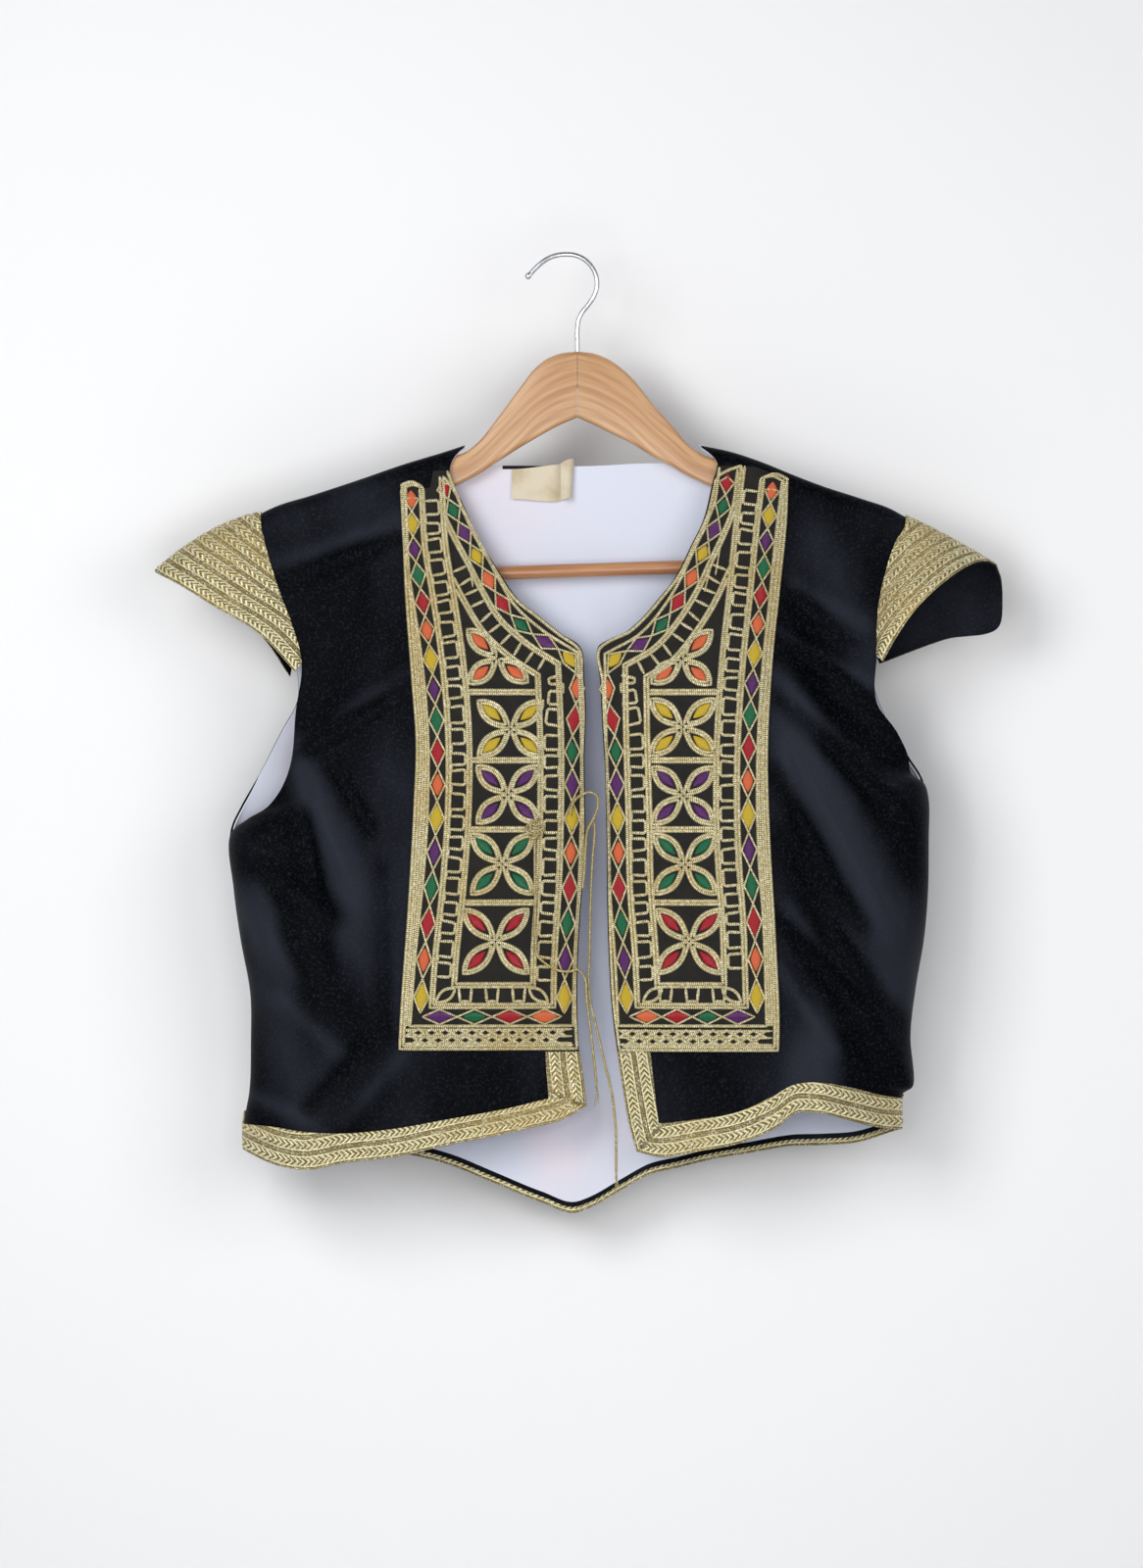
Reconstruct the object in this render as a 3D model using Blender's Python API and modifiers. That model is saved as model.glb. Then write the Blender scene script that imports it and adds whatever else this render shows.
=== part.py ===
"""Embroidered folk vest hung on a wooden hanger, as closed solids in metres.

X runs to the right as seen from the front, the front faces -Y and Z is up.
The origin is where the hook rests on its peg. Sizes in this file are millimetres.
"""

import math
from collections import namedtuple

import bmesh
import bpy
import numpy as np
from mathutils import Vector
from mathutils.geometry import delaunay_2d_cdt

MM = 0.001

Finish = namedtuple("Finish", "colour roughness metallic")
BLACK_VELVET = Finish((0.022, 0.025, 0.038), 0.9, 0.0)
WHITE_LINING = Finish((0.78, 0.79, 0.84), 0.8, 0.0)
GOLD_BRAID = Finish((0.62, 0.54, 0.29), 0.5, 0.6)
GOLD_EMBROIDERY = Finish((0.60, 0.52, 0.31), 0.5, 0.5)
CREAM_LABEL = Finish((0.80, 0.75, 0.58), 0.8, 0.0)
GOLD_CORD = Finish((0.60, 0.50, 0.26), 0.45, 0.6)
ARM_WOOD = Finish((0.74, 0.47, 0.26), 0.45, 0.0)
BAR_WOOD = Finish((0.50, 0.24, 0.10), 0.45, 0.0)
WIRE = Finish((0.66, 0.67, 0.69), 0.3, 1.0)

# Cloth walls, measured outward from the velvet face
VELVET = 1.2
LINING_FACE = -1.5
LINING_BACK = -2.3
BRAID_BACK = 0.3
BRAID_FACE = 1.4
PANEL_BACK = 0.7
PANEL_GROUND = 1.5
PANEL_CORD = 2.5
SEAM_HALF_GAP = 0.15

# Body form
SHOULDER_DEPTH = 9.4
SHOULDER_ROLL = 10.0
SIDE_ROLL = 50.0
CHEST_DEPTH = 36.0
HEM_DEPTH = 29.0
BACK_DEPTH = 18.0
FRONT_EDGE_DIP = 12.0
FRONT_EDGE_X = 17.0
FRONT_DIP_REACH = 110.0
DIP_TOP = -190.0
DIP_REACH = 150.0
CHEST_REACH = 190.0
BACK_REACH = 150.0
WAIST_TOP = -400.0
WAIST_REACH = 220.0
FOLD_START = 32.0
FOLD_END_SOFTNESS = 0.6
OPEN_EDGE = 12.0
BACK_STAND = 10.5
BACK_OPEN_EDGE = 10.0
BACK_STAND_REACH = 45.0
BACK_ARMHOLE_LOW_LEFT = -402.0
BACK_ARMHOLE_LOW_RIGHT = -367.8
BACK_MIDDLE_X = 12.0
SEAM_TOLERANCE = 0.01
SIDE_ROLL_STEPS = (50.0, 33.0, 18.0, 7.6, 1.8, 0.0)

Section = namedtuple("Section", "inner_x inner_z outer_x outer_z")
Hem = namedtuple("Hem", "x bottom braid_top")
Ridge = namedtuple("Ridge", "x z")
Armhole = namedtuple("Armhole", "z depth")
Fold = namedtuple("Fold", "x1 z1 x2 z2 height width")
SleeveHem = namedtuple("SleeveHem", "x z y")
Point = namedtuple("Point", "x z")
Side = namedtuple("Side", "name sign panel_edge columns sections ridge hem armhole folds")

# Left front, one row for each section from above the braid to the shoulder seam
LEFT_SECTIONS = (
    Section(9.6, -554, -221, -582),
    Section(8.2, -522, -220, -548),
    Section(8.6, -490, -220.5, -514),
    Section(10.5, -456, -227, -478),
    Section(13.5, -420, -232, -442),
    Section(13.7, -384, -234.3, -404),
    Section(13.2, -350, -222, -393),
    Section(14.2, -318, -206.9, -383.6),
    Section(13, -294, -196, -368),
    Section(11.3, -275, -190.4, -350),
    Section(-3, -264, -187.7, -318),
    Section(-18, -252, -183.6, -285),
    Section(-33, -240, -190.4, -257.6),
    Section(-48, -218, -198.7, -235.6),
    Section(-61, -196, -206, -213),
    Section(-72, -172, -210.5, -196),
    Section(-81, -150, -211.8, -188),
    Section(-79, -141, -212, -183.5),
    Section(-75, -135, -212, -180.3),
    Section(-71, -132, -212, -179),
)
LEFT_NOTCH_ROW = 11

RIGHT_SECTIONS = (
    Section(36, -555, 243.2, -578),
    Section(32, -524, 241, -545),
    Section(30, -490, 244.5, -512),
    Section(28.9, -456, 250.4, -477),
    Section(28.5, -420, 253.3, -443),
    Section(28, -386, 253.8, -405),
    Section(27, -354, 253.8, -380),
    Section(25.3, -326, 250.4, -367.8),
    Section(24, -298, 241, -361),
    Section(22.6, -273, 237, -345),
    Section(30, -268, 230, -331.5),
    Section(43, -262, 217, -313.7),
    Section(52, -254, 215, -302),
    Section(65, -239, 216.5, -279.5),
    Section(76, -225, 217.5, -250),
    Section(87, -203, 222, -224.7),
    Section(97, -181, 229.5, -201),
    Section(103, -155, 235.3, -191),
    Section(106, -143.5, 236.5, -186),
    Section(101, -136.5, 236.7, -182.8),
    Section(95, -132, 236.7, -181.5),
)
RIGHT_NOTCH_ROW = 13

# Hem of each front, from the front edge to the side
LEFT_HEM = (
    Hem(14.4, -592.5, -574),
    Hem(0.7, -600.7, -583),
    Hem(-24.7, -607.6, -590.5),
    Hem(-84.3, -620, -602),
    Hem(-118.5, -627.5, -608),
    Hem(-152.8, -631.6, -611),
    Hem(-183, -636.4, -609.5),
    Hem(-200, -633.6, -607),
    Hem(-224.7, -623.4, -605.6),
)
RIGHT_HEM = (
    Hem(49.3, -624, -604),
    Hem(63, -627.5, -604.5),
    Hem(94.5, -623.4, -601.5),
    Hem(126, -616.5, -595),
    Hem(146.6, -607, -585),
    Hem(160.3, -597.3, -577.5),
    Hem(173.3, -596.6, -575.4),
    Hem(196.6, -602, -578.8),
    Hem(220, -608, -585),
    Hem(234.3, -609.7, -587.7),
)
BACK_HEM = (
    Point(-224.7, -622),
    Point(-190, -624),
    Point(-150, -624.5),
    Point(-116.5, -627.5),
    Point(-84.3, -635),
    Point(-50, -648.7),
    Point(-16.4, -662.4),
    Point(7, -669.5),
    Point(15.8, -666.5),
    Point(39, -653.5),
    Point(58, -643),
    Point(79, -637.7),
    Point(102, -632),
    Point(126, -628),
    Point(158, -622.7),
    Point(181, -622),
    Point(204, -620),
    Point(234.3, -609.7),
)
HEM_ROW_SHARES = (0.0, 0.16, 1.0)
HEM_LEAN = 0.4
SAG_SHARES = (0.5, 0.2)
RIDGE_ROWS = 5
BRAID_BELOW_VELVET = 4.5
BRAID_BELOW_LINING = 8.0
BACK_BRAID_HEIGHT = 25.0

# Top line of each shoulder, from the neck out
LEFT_RIDGE = (
    Ridge(-71, -132),
    Ridge(-85.6, -136.7),
    Ridge(-111.7, -144.6),
    Ridge(-146.6, -156.6),
    Ridge(-176.7, -166.5),
    Ridge(-205.5, -175.8),
    Ridge(-212, -179),
)
RIGHT_RIDGE = (
    Ridge(95, -132),
    Ridge(116.5, -136.6),
    Ridge(138.4, -144),
    Ridge(156.9, -151.6),
    Ridge(178.8, -160),
    Ridge(208, -169.5),
    Ridge(228, -176.6),
    Ridge(236.7, -181.5),
)
BACK_NECK = (
    Point(-211.8, -188),
    Point(-80, -147.5),
    Point(-58, -146),
    Point(12, -146),
    Point(78, -144.5),
    Point(104, -148),
    Point(236.3, -190.3),
)

# How far the front armhole edge stands off the side plane
LEFT_ARMHOLE = (
    Armhole(-179, 9.4),
    Armhole(-213, 12),
    Armhole(-257, 17),
    Armhole(-285, 20),
    Armhole(-318, 22),
    Armhole(-350, 22),
    Armhole(-368, 20),
    Armhole(-383, 14),
    Armhole(-393, 8),
    Armhole(-404, 0),
)
RIGHT_ARMHOLE = (
    Armhole(-181, 9.4),
    Armhole(-213, 13),
    Armhole(-250, 18),
    Armhole(-280, 21),
    Armhole(-314, 22),
    Armhole(-345, 18),
    Armhole(-361, 9),
    Armhole(-368, 0),
)

# Back armhole and side line of each side, top to bottom
BACK_LEFT_EDGE = (
    Point(-212, -179),
    Point(-210, -210),
    Point(-203, -236),
    Point(-196, -258),
    Point(-189, -289),
    Point(-187.7, -314),
    Point(-199.3, -334),
    Point(-217, -366),
    Point(-234.3, -402),
    Point(-232, -442),
    Point(-227, -478),
    Point(-220.5, -514),
    Point(-220, -548),
    Point(-221, -582),
    Point(-224.7, -597),
    Point(-224.7, -622),
)
BACK_RIGHT_EDGE = (
    Point(236.7, -181.5),
    Point(229.5, -201),
    Point(222, -225),
    Point(218, -250),
    Point(216, -280),
    Point(216, -303),
    Point(228, -331),
    Point(250.4, -367.8),
    Point(253.8, -405),
    Point(253.3, -443),
    Point(250.4, -477),
    Point(244.5, -512),
    Point(241, -545),
    Point(243.2, -578),
    Point(234.3, -584.7),
    Point(234.3, -609.7),
)
BackRow = namedtuple("BackRow", "left_z right_z")
BACK_ROWS = (
    BackRow(-575, -565),
    BackRow(-545, -535),
    BackRow(-512, -505),
    BackRow(-478, -472),
    BackRow(-442, -437),
    BackRow(-402, -400),
    BackRow(-384, -367.8),
    BackRow(-362, -350),
    BackRow(-334, -330),
    BackRow(-314, -303),
    BackRow(-289, -280),
    BackRow(-258, -250),
    BackRow(-232, -224),
    BackRow(-208, -203),
    BackRow(-196, -194),
    BackRow(-188, -190.3),
)
BACK_NOTCH_ROW = 10
SHOULDER_ROWS = 3
BackColumn = namedtuple("BackColumn", "hem_x top_x")
BACK_COLUMNS = (
    BackColumn(-134, -121),
    BackColumn(-92, -80),
    BackColumn(-42, -36),
    BackColumn(7, 12),
    BackColumn(52, 58),
    BackColumn(98, 104),
    BackColumn(142, 146),
)
LEFT_NECK_COLUMN = len(SIDE_ROLL_STEPS) + 1
RIGHT_NECK_COLUMN = LEFT_NECK_COLUMN + 4

# Largest folds, as soft ridges (plus) and troughs (minus) along a line
LEFT_FOLDS = (
    Fold(-190, -335, -150, -440, 5.0, 17),
    Fold(-205, -400, -160, -520, -5.0, 19),
    Fold(-215, -440, -190, -590, 5.0, 17),
    Fold(-150, -230, -185, -330, -4.0, 18),
    Fold(-155, -480, -172, -610, 3.5, 16),
)
RIGHT_FOLDS = (
    Fold(165, -260, 240, -420, -4.5, 18),
    Fold(160, -330, 235, -500, 5.0, 18),
    Fold(165, -420, 225, -590, -5.0, 18),
    Fold(172, -560, 172, -600, 7.0, 20),
    Fold(180, -200, 215, -290, 3.5, 17),
)
BACK_FOLDS = (
    Fold(-150, -210, -175, -420, 5.0, 22),
    Fold(-110, -420, -150, -600, -4.0, 24),
    Fold(-40, -330, -60, -600, 3.5, 26),
    Fold(60, -300, 80, -590, -3.5, 26),
    Fold(150, -400, 175, -600, 4.0, 24),
    Fold(170, -220, 190, -400, -4.0, 22),
)

LEFT = Side(
    "left", -1, -116.0, (0.0, 0.13, 0.32, 0.52, 0.71, 0.86),
    LEFT_SECTIONS, LEFT_RIDGE, LEFT_HEM, LEFT_ARMHOLE, LEFT_FOLDS,
)
RIGHT = Side(
    "right", 1, 149.0, (0.0, 0.15, 0.34, 0.54, 0.745, 0.88),
    RIGHT_SECTIONS, RIGHT_RIDGE, RIGHT_HEM, RIGHT_ARMHOLE, RIGHT_FOLDS,
)

# Sleeve hems, front notch to tip and tip to back notch
LEFT_SLEEVE_FRONT = (
    SleeveHem(-187.5, -290, -20),
    SleeveHem(-212, -264, -17),
    SleeveHem(-244.5, -244.5, -14),
    SleeveHem(-270, -229, -10),
    SleeveHem(-282, -222.5, -5),
    SleeveHem(-286.3, -220, 0),
)
LEFT_SLEEVE_BACK = (
    SleeveHem(-286.3, -220, 0),
    SleeveHem(-282, -222.5, 5),
    SleeveHem(-270, -229, 9),
    SleeveHem(-245, -242, 11),
    SleeveHem(-213, -264, 12),
    SleeveHem(-192.5, -293, 12),
)
RIGHT_SLEEVE_FRONT = (
    SleeveHem(220, -283, -21),
    SleeveHem(230, -265, -26),
    SleeveHem(245.2, -244.5, -31),
    SleeveHem(263, -228, -32),
    SleeveHem(281.5, -216, -25),
    SleeveHem(294, -213.5, -13),
    SleeveHem(300, -215.8, -3),
)
RIGHT_SLEEVE_BACK = (
    SleeveHem(300, -215.8, -3),
    SleeveHem(304, -225, 6),
    SleeveHem(305.5, -240, 12),
    SleeveHem(304, -257, 16),
    SleeveHem(266, -267, 15),
    SleeveHem(219.5, -284, 13),
)
LEFT_SLEEVE_CROWN = 6.5
RIGHT_SLEEVE_CROWN = 1.5
SLEEVE_BOW = 2.5
SLEEVE_CLEARANCE = 0.5
TIP_SPREAD = 1.15
SLEEVE_RINGS = 4

# Embroidered panels: outline down the outer edge, then the diamond chain
LEFT_PANEL_TOP = (
    Point(-81.6, -149.5),
    Point(-92.5, -150.5),
    Point(-94.5, -162),
    Point(-103, -163),
    Point(-104, -159.5),
    Point(-115.2, -160.5),
)
LEFT_PANEL_OUTER = (
    Point(-113.5, -198.7),
    Point(-112, -231),
    Point(-107, -296.6),
    Point(-104, -340),
    Point(-105.5, -383.6),
    Point(-109.6, -455),
    Point(-115, -529),
    Point(-116.3, -553.5),
)
RIGHT_PANEL_TOP = (
    Point(105.6, -146.5),
    Point(131, -147.5),
    Point(155.3, -157),
)
RIGHT_PANEL_OUTER = (
    Point(154.8, -177),
    Point(149.3, -232),
    Point(144, -280),
    Point(140.4, -350),
    Point(141.8, -403),
    Point(146, -476),
    Point(148.6, -539),
    Point(148.3, -554.5),
)
LEFT_CHAIN_OUTER = (
    Point(-107.6, -169),
    Point(-105.5, -203),
    Point(-99.5, -240),
    Point(-93.2, -283),
    Point(-89, -334),
    Point(-89.3, -389),
    Point(-92.8, -439),
    Point(-98, -489),
    Point(-101, -530),
)
LEFT_CHAIN_INNER = (
    Point(-1.4, -530),
    Point(-0.5, -489),
    Point(2.5, -441),
    Point(4, -393),
    Point(4.2, -341),
    Point(2, -281),
)
LEFT_CHAIN_NECK = (
    Point(-24, -264),
    Point(-39.7, -249.5),
    Point(-51.8, -230),
    Point(-61.5, -211),
    Point(-71.5, -192),
    Point(-80, -174),
    Point(-86.2, -158.5),
)
RIGHT_CHAIN_OUTER = (
    Point(143.9, -163),
    Point(139.7, -198),
    Point(135.6, -238),
    Point(130.8, -281.5),
    Point(126.7, -348),
    Point(127.4, -416.5),
    Point(130.8, -464.4),
    Point(132.9, -530),
)
RIGHT_CHAIN_INNER = (
    Point(43, -530),
    Point(41, -489),
    Point(37.5, -441),
    Point(36.5, -393),
    Point(35, -341),
    Point(34, -282),
)
RIGHT_CHAIN_NECK = (
    Point(57, -268.5),
    Point(73, -250),
    Point(84.5, -231.5),
    Point(94.5, -210),
    Point(104, -190),
    Point(110.5, -172),
    Point(112.8, -154.5),
)
CHAIN_LINES = ((4.9, 1.0), (4.2, 0.0), (-4.2, 0.0), (-4.9, 1.0), (-7.6, 1.0), (-8.3, 0.0))
LOZENGE_STEP = 23.0
Frame = namedtuple("Frame", "z left_x right_x")
LEFT_FRAME = (
    Frame(-517, -76, -23),
    Frame(-450, -71.5, -20),
    Frame(-400, -68, -17.5),
    Frame(-350, -66.5, -16),
    Frame(-305, -68, -15),
    Frame(-272, -66, -32),
)
RIGHT_FRAME = (
    Frame(-517, 62.5, 111),
    Frame(-450, 60, 107.5),
    Frame(-400, 57.5, 105.5),
    Frame(-350, 56, 106.5),
    Frame(-305, 55, 108),
    Frame(-272, 70, 110),
)
BAR_LEVELS = (-450, -400, -353, -308)
FRAME_CORD = 2.4
PETAL_REACH = 17.0
PETAL_START = 4.5
PETAL_HALF = 3.6
PETAL_LEAN = Point(1.05, 0.85)
PANEL_INSET = 0.9
PANEL_BEVEL = 0.8
PANEL_NECK_TOP = -152.0
CORD_BEVEL = 0.7
CORNER_STRETCH = 0.45
LOZENGE_HALF = 6.6
OUTER_START = 6.0
BOTTOM_START = 14.0
INNER_START = 12.0
NECK_START = 11.0
FINE_STEP = 24.0
EDGE_STEP = 16.0
FRAME_STEP = 40.0

# Points that keep the panel's face on the rounded shoulder, and those of its plain inside
SHOULDER_SPOTS_X = np.arange(-110.0, 160.0, 9.0)
SHOULDER_SPOTS_BELOW = (5.0, 8.5, 13.0)
SHOULDER_SPOT_MARGIN = 2.5
INSIDE_SPOTS_X = np.arange(-112.0, 156.0, 18.0)
INSIDE_SPOTS_Z = np.arange(-546.0, -140.0, 18.0)
INSIDE_SPOT_MARGIN = 4.0
SLOPE_STEP = 0.5
JOIN_DISTANCE = 1e-4
SHARP_ANGLE = 50.0

# Wooden hanger: top and bottom line at stations from the joint outward
Station = namedtuple("Station", "x top bottom")
LEFT_ARM = (
    Station(8.05, -66.4, -112.3),
    Station(-4, -67.8, -117.5),
    Station(-14, -72.0, -122.8),
    Station(-22, -78.6, -127.4),
    Station(-31.5, -91, -133),
    Station(-50, -115.8, -145),
    Station(-60, -128.4, -151.6),
    Station(-70, -136.6, -157.0),
    Station(-85.6, -141.0, -164),
    Station(-111.7, -148.6, -174),
    Station(-146.6, -160.6, -188),
    Station(-170, -168.2, -204),
    Station(-180, -171.6, -219),
    Station(-190, -175.2, -232),
    Station(-200, -181.0, -238),
    Station(-206, -191, -228),
)
RIGHT_ARM = (
    Station(8.35, -66.4, -112.3),
    Station(20, -67.8, -117.5),
    Station(32, -73, -123.5),
    Station(44.5, -83, -129.5),
    Station(61.7, -104, -140),
    Station(74.7, -118.5, -147),
    Station(86, -131.6, -153.5),
    Station(94, -137.6, -157.2),
    Station(116.5, -143.4, -167),
    Station(138.4, -149.5, -177),
    Station(170, -160.6, -190),
    Station(196, -169.6, -202),
    Station(213, -175.8, -221),
    Station(227, -183.5, -224),
    Station(232.5, -194, -216),
)
ARM_THICK = 11.5
ARM_ROUND = 3.2
BAR_DIAMETER = 9.6
BAR_LEFT = Point(-196.0, -225.9)
BAR_RIGHT = Point(219.0, -212.5)
BAR_SIDES = 24
SOCKET_LENGTH = 60.0
HOLE_BEYOND = 0.4
SOCKET_CLEARANCE = 0.3
STEM_HOLE_TOP = -50.0
STEM_SIDES = 16
BOARD_BEVEL_RESOLUTION = 1
WELD_DISTANCE = 1e-6
HOOK_DIAMETER = 3.6
HOOK_BALL = 2.3
WIRE_RESOLUTION = 4
BallRing = namedtuple("BallRing", "along wide")
TIP_BALL_RINGS = (
    BallRing(0.35, 0.75),
    BallRing(1.0, 1.0),
    BallRing(1.65, 0.75),
    BallRing(1.95, 0.3),
)
HOOK_PATH = (
    Point(8.2, -92),
    Point(8.2, -62),
    Point(8.2, -50),
    Point(8.9, -44.5),
    Point(11.4, -39),
    Point(15.6, -33.8),
    Point(19.4, -28.2),
    Point(21.7, -21.5),
    Point(21.3, -13.6),
    Point(17.8, -6.4),
    Point(12.2, -1.2),
    Point(6, 1.3),
    Point(0, 1.8),
    Point(-7, 0.9),
    Point(-13.5, -1.8),
    Point(-19.4, -6.4),
    Point(-24.6, -11.8),
)

# Tie cord: x, z and how far its centre stands in front of the velvet face
CORD_DIAMETER = 1.8
CORD_STEP = 3 * CORD_DIAMETER
CORD_RESOLUTION = 2
Cord = namedtuple("Cord", "x z lift")
TIE_TAIL = (
    Cord(-21.2, -401.5, 4.0),
    Cord(-21.4, -420, 3.9),
    Cord(-21.0, -450, 3.9),
    Cord(-20.8, -476, 3.9),
    Cord(-19.2, -488, 3.9),
    Cord(-14.2, -493, 3.9),
    Cord(-6.5, -497.5, 3.9),
    Cord(2, -498.8, 3.9),
    Cord(8.5, -497.5, 4.2),
    Cord(13, -503, 3.0),
    Cord(14.5, -517, 1.2),
    Cord(18, -545, 0.0),
    Cord(21.5, -577, -1.0),
)
TIE_LOOP = (
    Cord(12.0, -441, 4.4),
    Cord(13.2, -426, 5.2),
    Cord(14.0, -412, 5.6),
    Cord(15.5, -400, 5.8),
    Cord(19.5, -392, 6.2),
    Cord(22.6, -382, 6.0),
    Cord(21.2, -376.2, 5.6),
    Cord(17.5, -374.4, 5.4),
    Cord(12.5, -375.2, 4.9),
    Cord(7.4, -378.8, 4.4),
    Cord(4.2, -383.6, 4.1),
    Cord(3.0, -390, 4.0),
)
TIE_STRAND = (
    Cord(19.6, -395.2, 5.0),
    Cord(20.3, -401, 2.8),
    Cord(19.6, -409, 1.6),
    Cord(18.8, -420, 1.0),
    Cord(17.6, -445, 0.6),
    Cord(16.8, -480, 0.2),
    Cord(17.2, -520, 0.0),
    Cord(21.0, -536, 0.4),
    Cord(26.5, -560, 1.0),
    Cord(32, -583, 1.6),
    Cord(34.6, -605, 2.0),
    Cord(35.2, -639, 2.0),
)

# Label: upright strip, its path seen from above
LABEL_TOP = -144.5
LABEL_BOTTOM = -170.0
LABEL_THICK = 0.7
Bend = namedtuple("Bend", "x y")
LABEL_PATH = (
    Bend(-37.5, 6.0),
    Bend(-10, 6.0),
    Bend(2.2, 5.9),
    Bend(4.2, 4.4),
    Bend(3.0, 2.4),
    Bend(-3.5, 1.2),
)


def clear_scene():
    for item in list(bpy.data.objects):
        bpy.data.objects.remove(item)


def link_to_vest(item, finish):
    """Put the object in the vest's collection with a material of its own."""
    for group in list(item.users_collection):
        group.objects.unlink(item)
    vest.objects.link(item)
    material = bpy.data.materials.new(item.name)
    material.use_nodes = True
    shader = material.node_tree.nodes["Principled BSDF"]
    shader.inputs["Base Color"].default_value = (*finish.colour, 1.0)
    shader.inputs["Roughness"].default_value = finish.roughness
    shader.inputs["Metallic"].default_value = finish.metallic
    item.data.materials.append(material)


def shade_round(mesh):
    mesh.shade_smooth()
    mesh.set_sharp_from_angle(angle=math.radians(SHARP_ANGLE))


def add_solid(name, points, faces, finish):
    mesh = bpy.data.meshes.new(name)
    mesh.from_pydata([tuple(c * MM for c in p) for p in points], [], faces)
    mesh.update()
    face_outward(mesh)
    shade_round(mesh)
    item = bpy.data.objects.new(name, mesh)
    link_to_vest(item, finish)
    return item


def face_outward(mesh):
    volume = 0.0
    for polygon in mesh.polygons:
        corners = [mesh.vertices[i].co for i in polygon.vertices]
        for i in range(1, len(corners) - 1):
            volume += corners[0].dot(corners[i].cross(corners[i + 1]))
    if volume < 0:
        mesh.flip_normals()


def column(rows, *names):
    picked = np.array([[getattr(row, name) for name in names] for row in rows], float)
    return picked[np.argsort(picked[:, 0])].T


def value_at(rows, key, name, where):
    keys, values = column(rows, key, name)
    return np.interp(where, keys, values)


def smooth(value):
    value = np.clip(value, 0.0, 1.0)
    return value * value * (3.0 - 2.0 * value)


def quarter_round(distance, reach):
    left = 1.0 - np.clip(distance / reach, 0.0, 1.0)
    return np.sqrt(1.0 - left * left)


def fold_height(folds, x, z):
    total = np.zeros_like(x)
    for fold in folds:
        run = np.array([fold.x2 - fold.x1, fold.z2 - fold.z1])
        length = np.linalg.norm(run)
        along = ((x - fold.x1) * run[0] + (z - fold.z1) * run[1]) / length
        beside = ((x - fold.x1) * run[1] - (z - fold.z1) * run[0]) / length
        past = np.maximum(0.0, np.maximum(-along, along - length))
        reach = np.hypot(beside, past * FOLD_END_SOFTNESS)
        total = total + fold.height * np.exp(-((reach / fold.width) ** 2))
    return total


def ridge_height(x):
    rows = LEFT_RIDGE + RIGHT_RIDGE
    return value_at(rows, "x", "z", x)


def front_outer_x(side, z):
    corner = side.hem[-1]
    low = [Section(0, 0, corner.x, corner.bottom), Section(0, 0, corner.x, corner.braid_top)]
    return value_at(low + list(side.sections), "outer_z", "outer_x", z)


def front_depth(side, x, z):
    """Distance of the front velvet face from the side plane."""
    below = np.maximum(0.0, ridge_height(x) - z)
    top = quarter_round(below, SHOULDER_ROLL)
    edge = np.abs(front_outer_x(side, z) - x)
    edge = np.where(side.sign * (x - front_outer_x(side, z)) > 0, 0.0, edge)
    stand = value_at(side.armhole, "z", "depth", z)
    stand = np.where(z < min(row.z for row in side.armhole), 0.0, stand)
    open_share = np.clip(stand / OPEN_EDGE, 0.0, 1.0)
    closed_roll = quarter_round(edge, SIDE_ROLL)
    open_roll = np.sin(np.clip(edge / SIDE_ROLL, 0, 1) * math.pi / 2)
    roll = closed_roll * (1 - open_share) + open_roll * open_share
    body = SHOULDER_DEPTH + (CHEST_DEPTH - SHOULDER_DEPTH) * smooth(below / CHEST_REACH)
    body = body - (CHEST_DEPTH - HEM_DEPTH) * smooth((WAIST_TOP - z) / WAIST_REACH)
    from_edge = np.clip(np.abs(x - FRONT_EDGE_X) / FRONT_DIP_REACH, 0.0, 1.0)
    dip = FRONT_EDGE_DIP * (1 - from_edge) ** 2 * smooth((DIP_TOP - z) / DIP_REACH)
    beyond = side.sign * (x - side.panel_edge)
    folds = fold_height(side.folds, x, z) * roll * top * smooth(beyond / FOLD_START)
    return top * (stand + (body - dip - stand) * roll) + folds


def back_depth(x, z):
    """Distance of the back velvet face from the side plane."""
    below = np.maximum(0.0, ridge_height(x) - z)
    top = quarter_round(below, SHOULDER_ROLL)
    left_x = value_at(BACK_LEFT_EDGE, "z", "x", z)
    right_x = value_at(BACK_RIGHT_EDGE, "z", "x", z)
    edge = np.maximum(0.0, np.minimum(x - left_x, right_x - x))
    armhole_low = np.where(x < BACK_MIDDLE_X, BACK_ARMHOLE_LOW_LEFT, BACK_ARMHOLE_LOW_RIGHT)
    stand = BACK_STAND * smooth((z - armhole_low) / BACK_STAND_REACH)
    open_share = np.clip(stand / BACK_OPEN_EDGE, 0.0, 1.0)
    closed_roll = quarter_round(edge, SIDE_ROLL)
    open_roll = np.sin(np.clip(edge / SIDE_ROLL, 0, 1) * math.pi / 2)
    roll = closed_roll * (1 - open_share) + open_roll * open_share
    body = SHOULDER_DEPTH + (BACK_DEPTH - SHOULDER_DEPTH) * smooth(below / BACK_REACH)
    stand = np.minimum(stand, body)
    folds = fold_height(BACK_FOLDS, x, z) * roll * top
    return top * (stand + (body - stand) * roll) + folds


def lift_over_ridge(side, x, inner, outer):
    share = (x - inner[0]) / (outer[0] - inner[0])
    straight = side.ridge[0].z + (side.ridge[-1].z - side.ridge[0].z) * share
    return ridge_height(x) - straight


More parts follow.
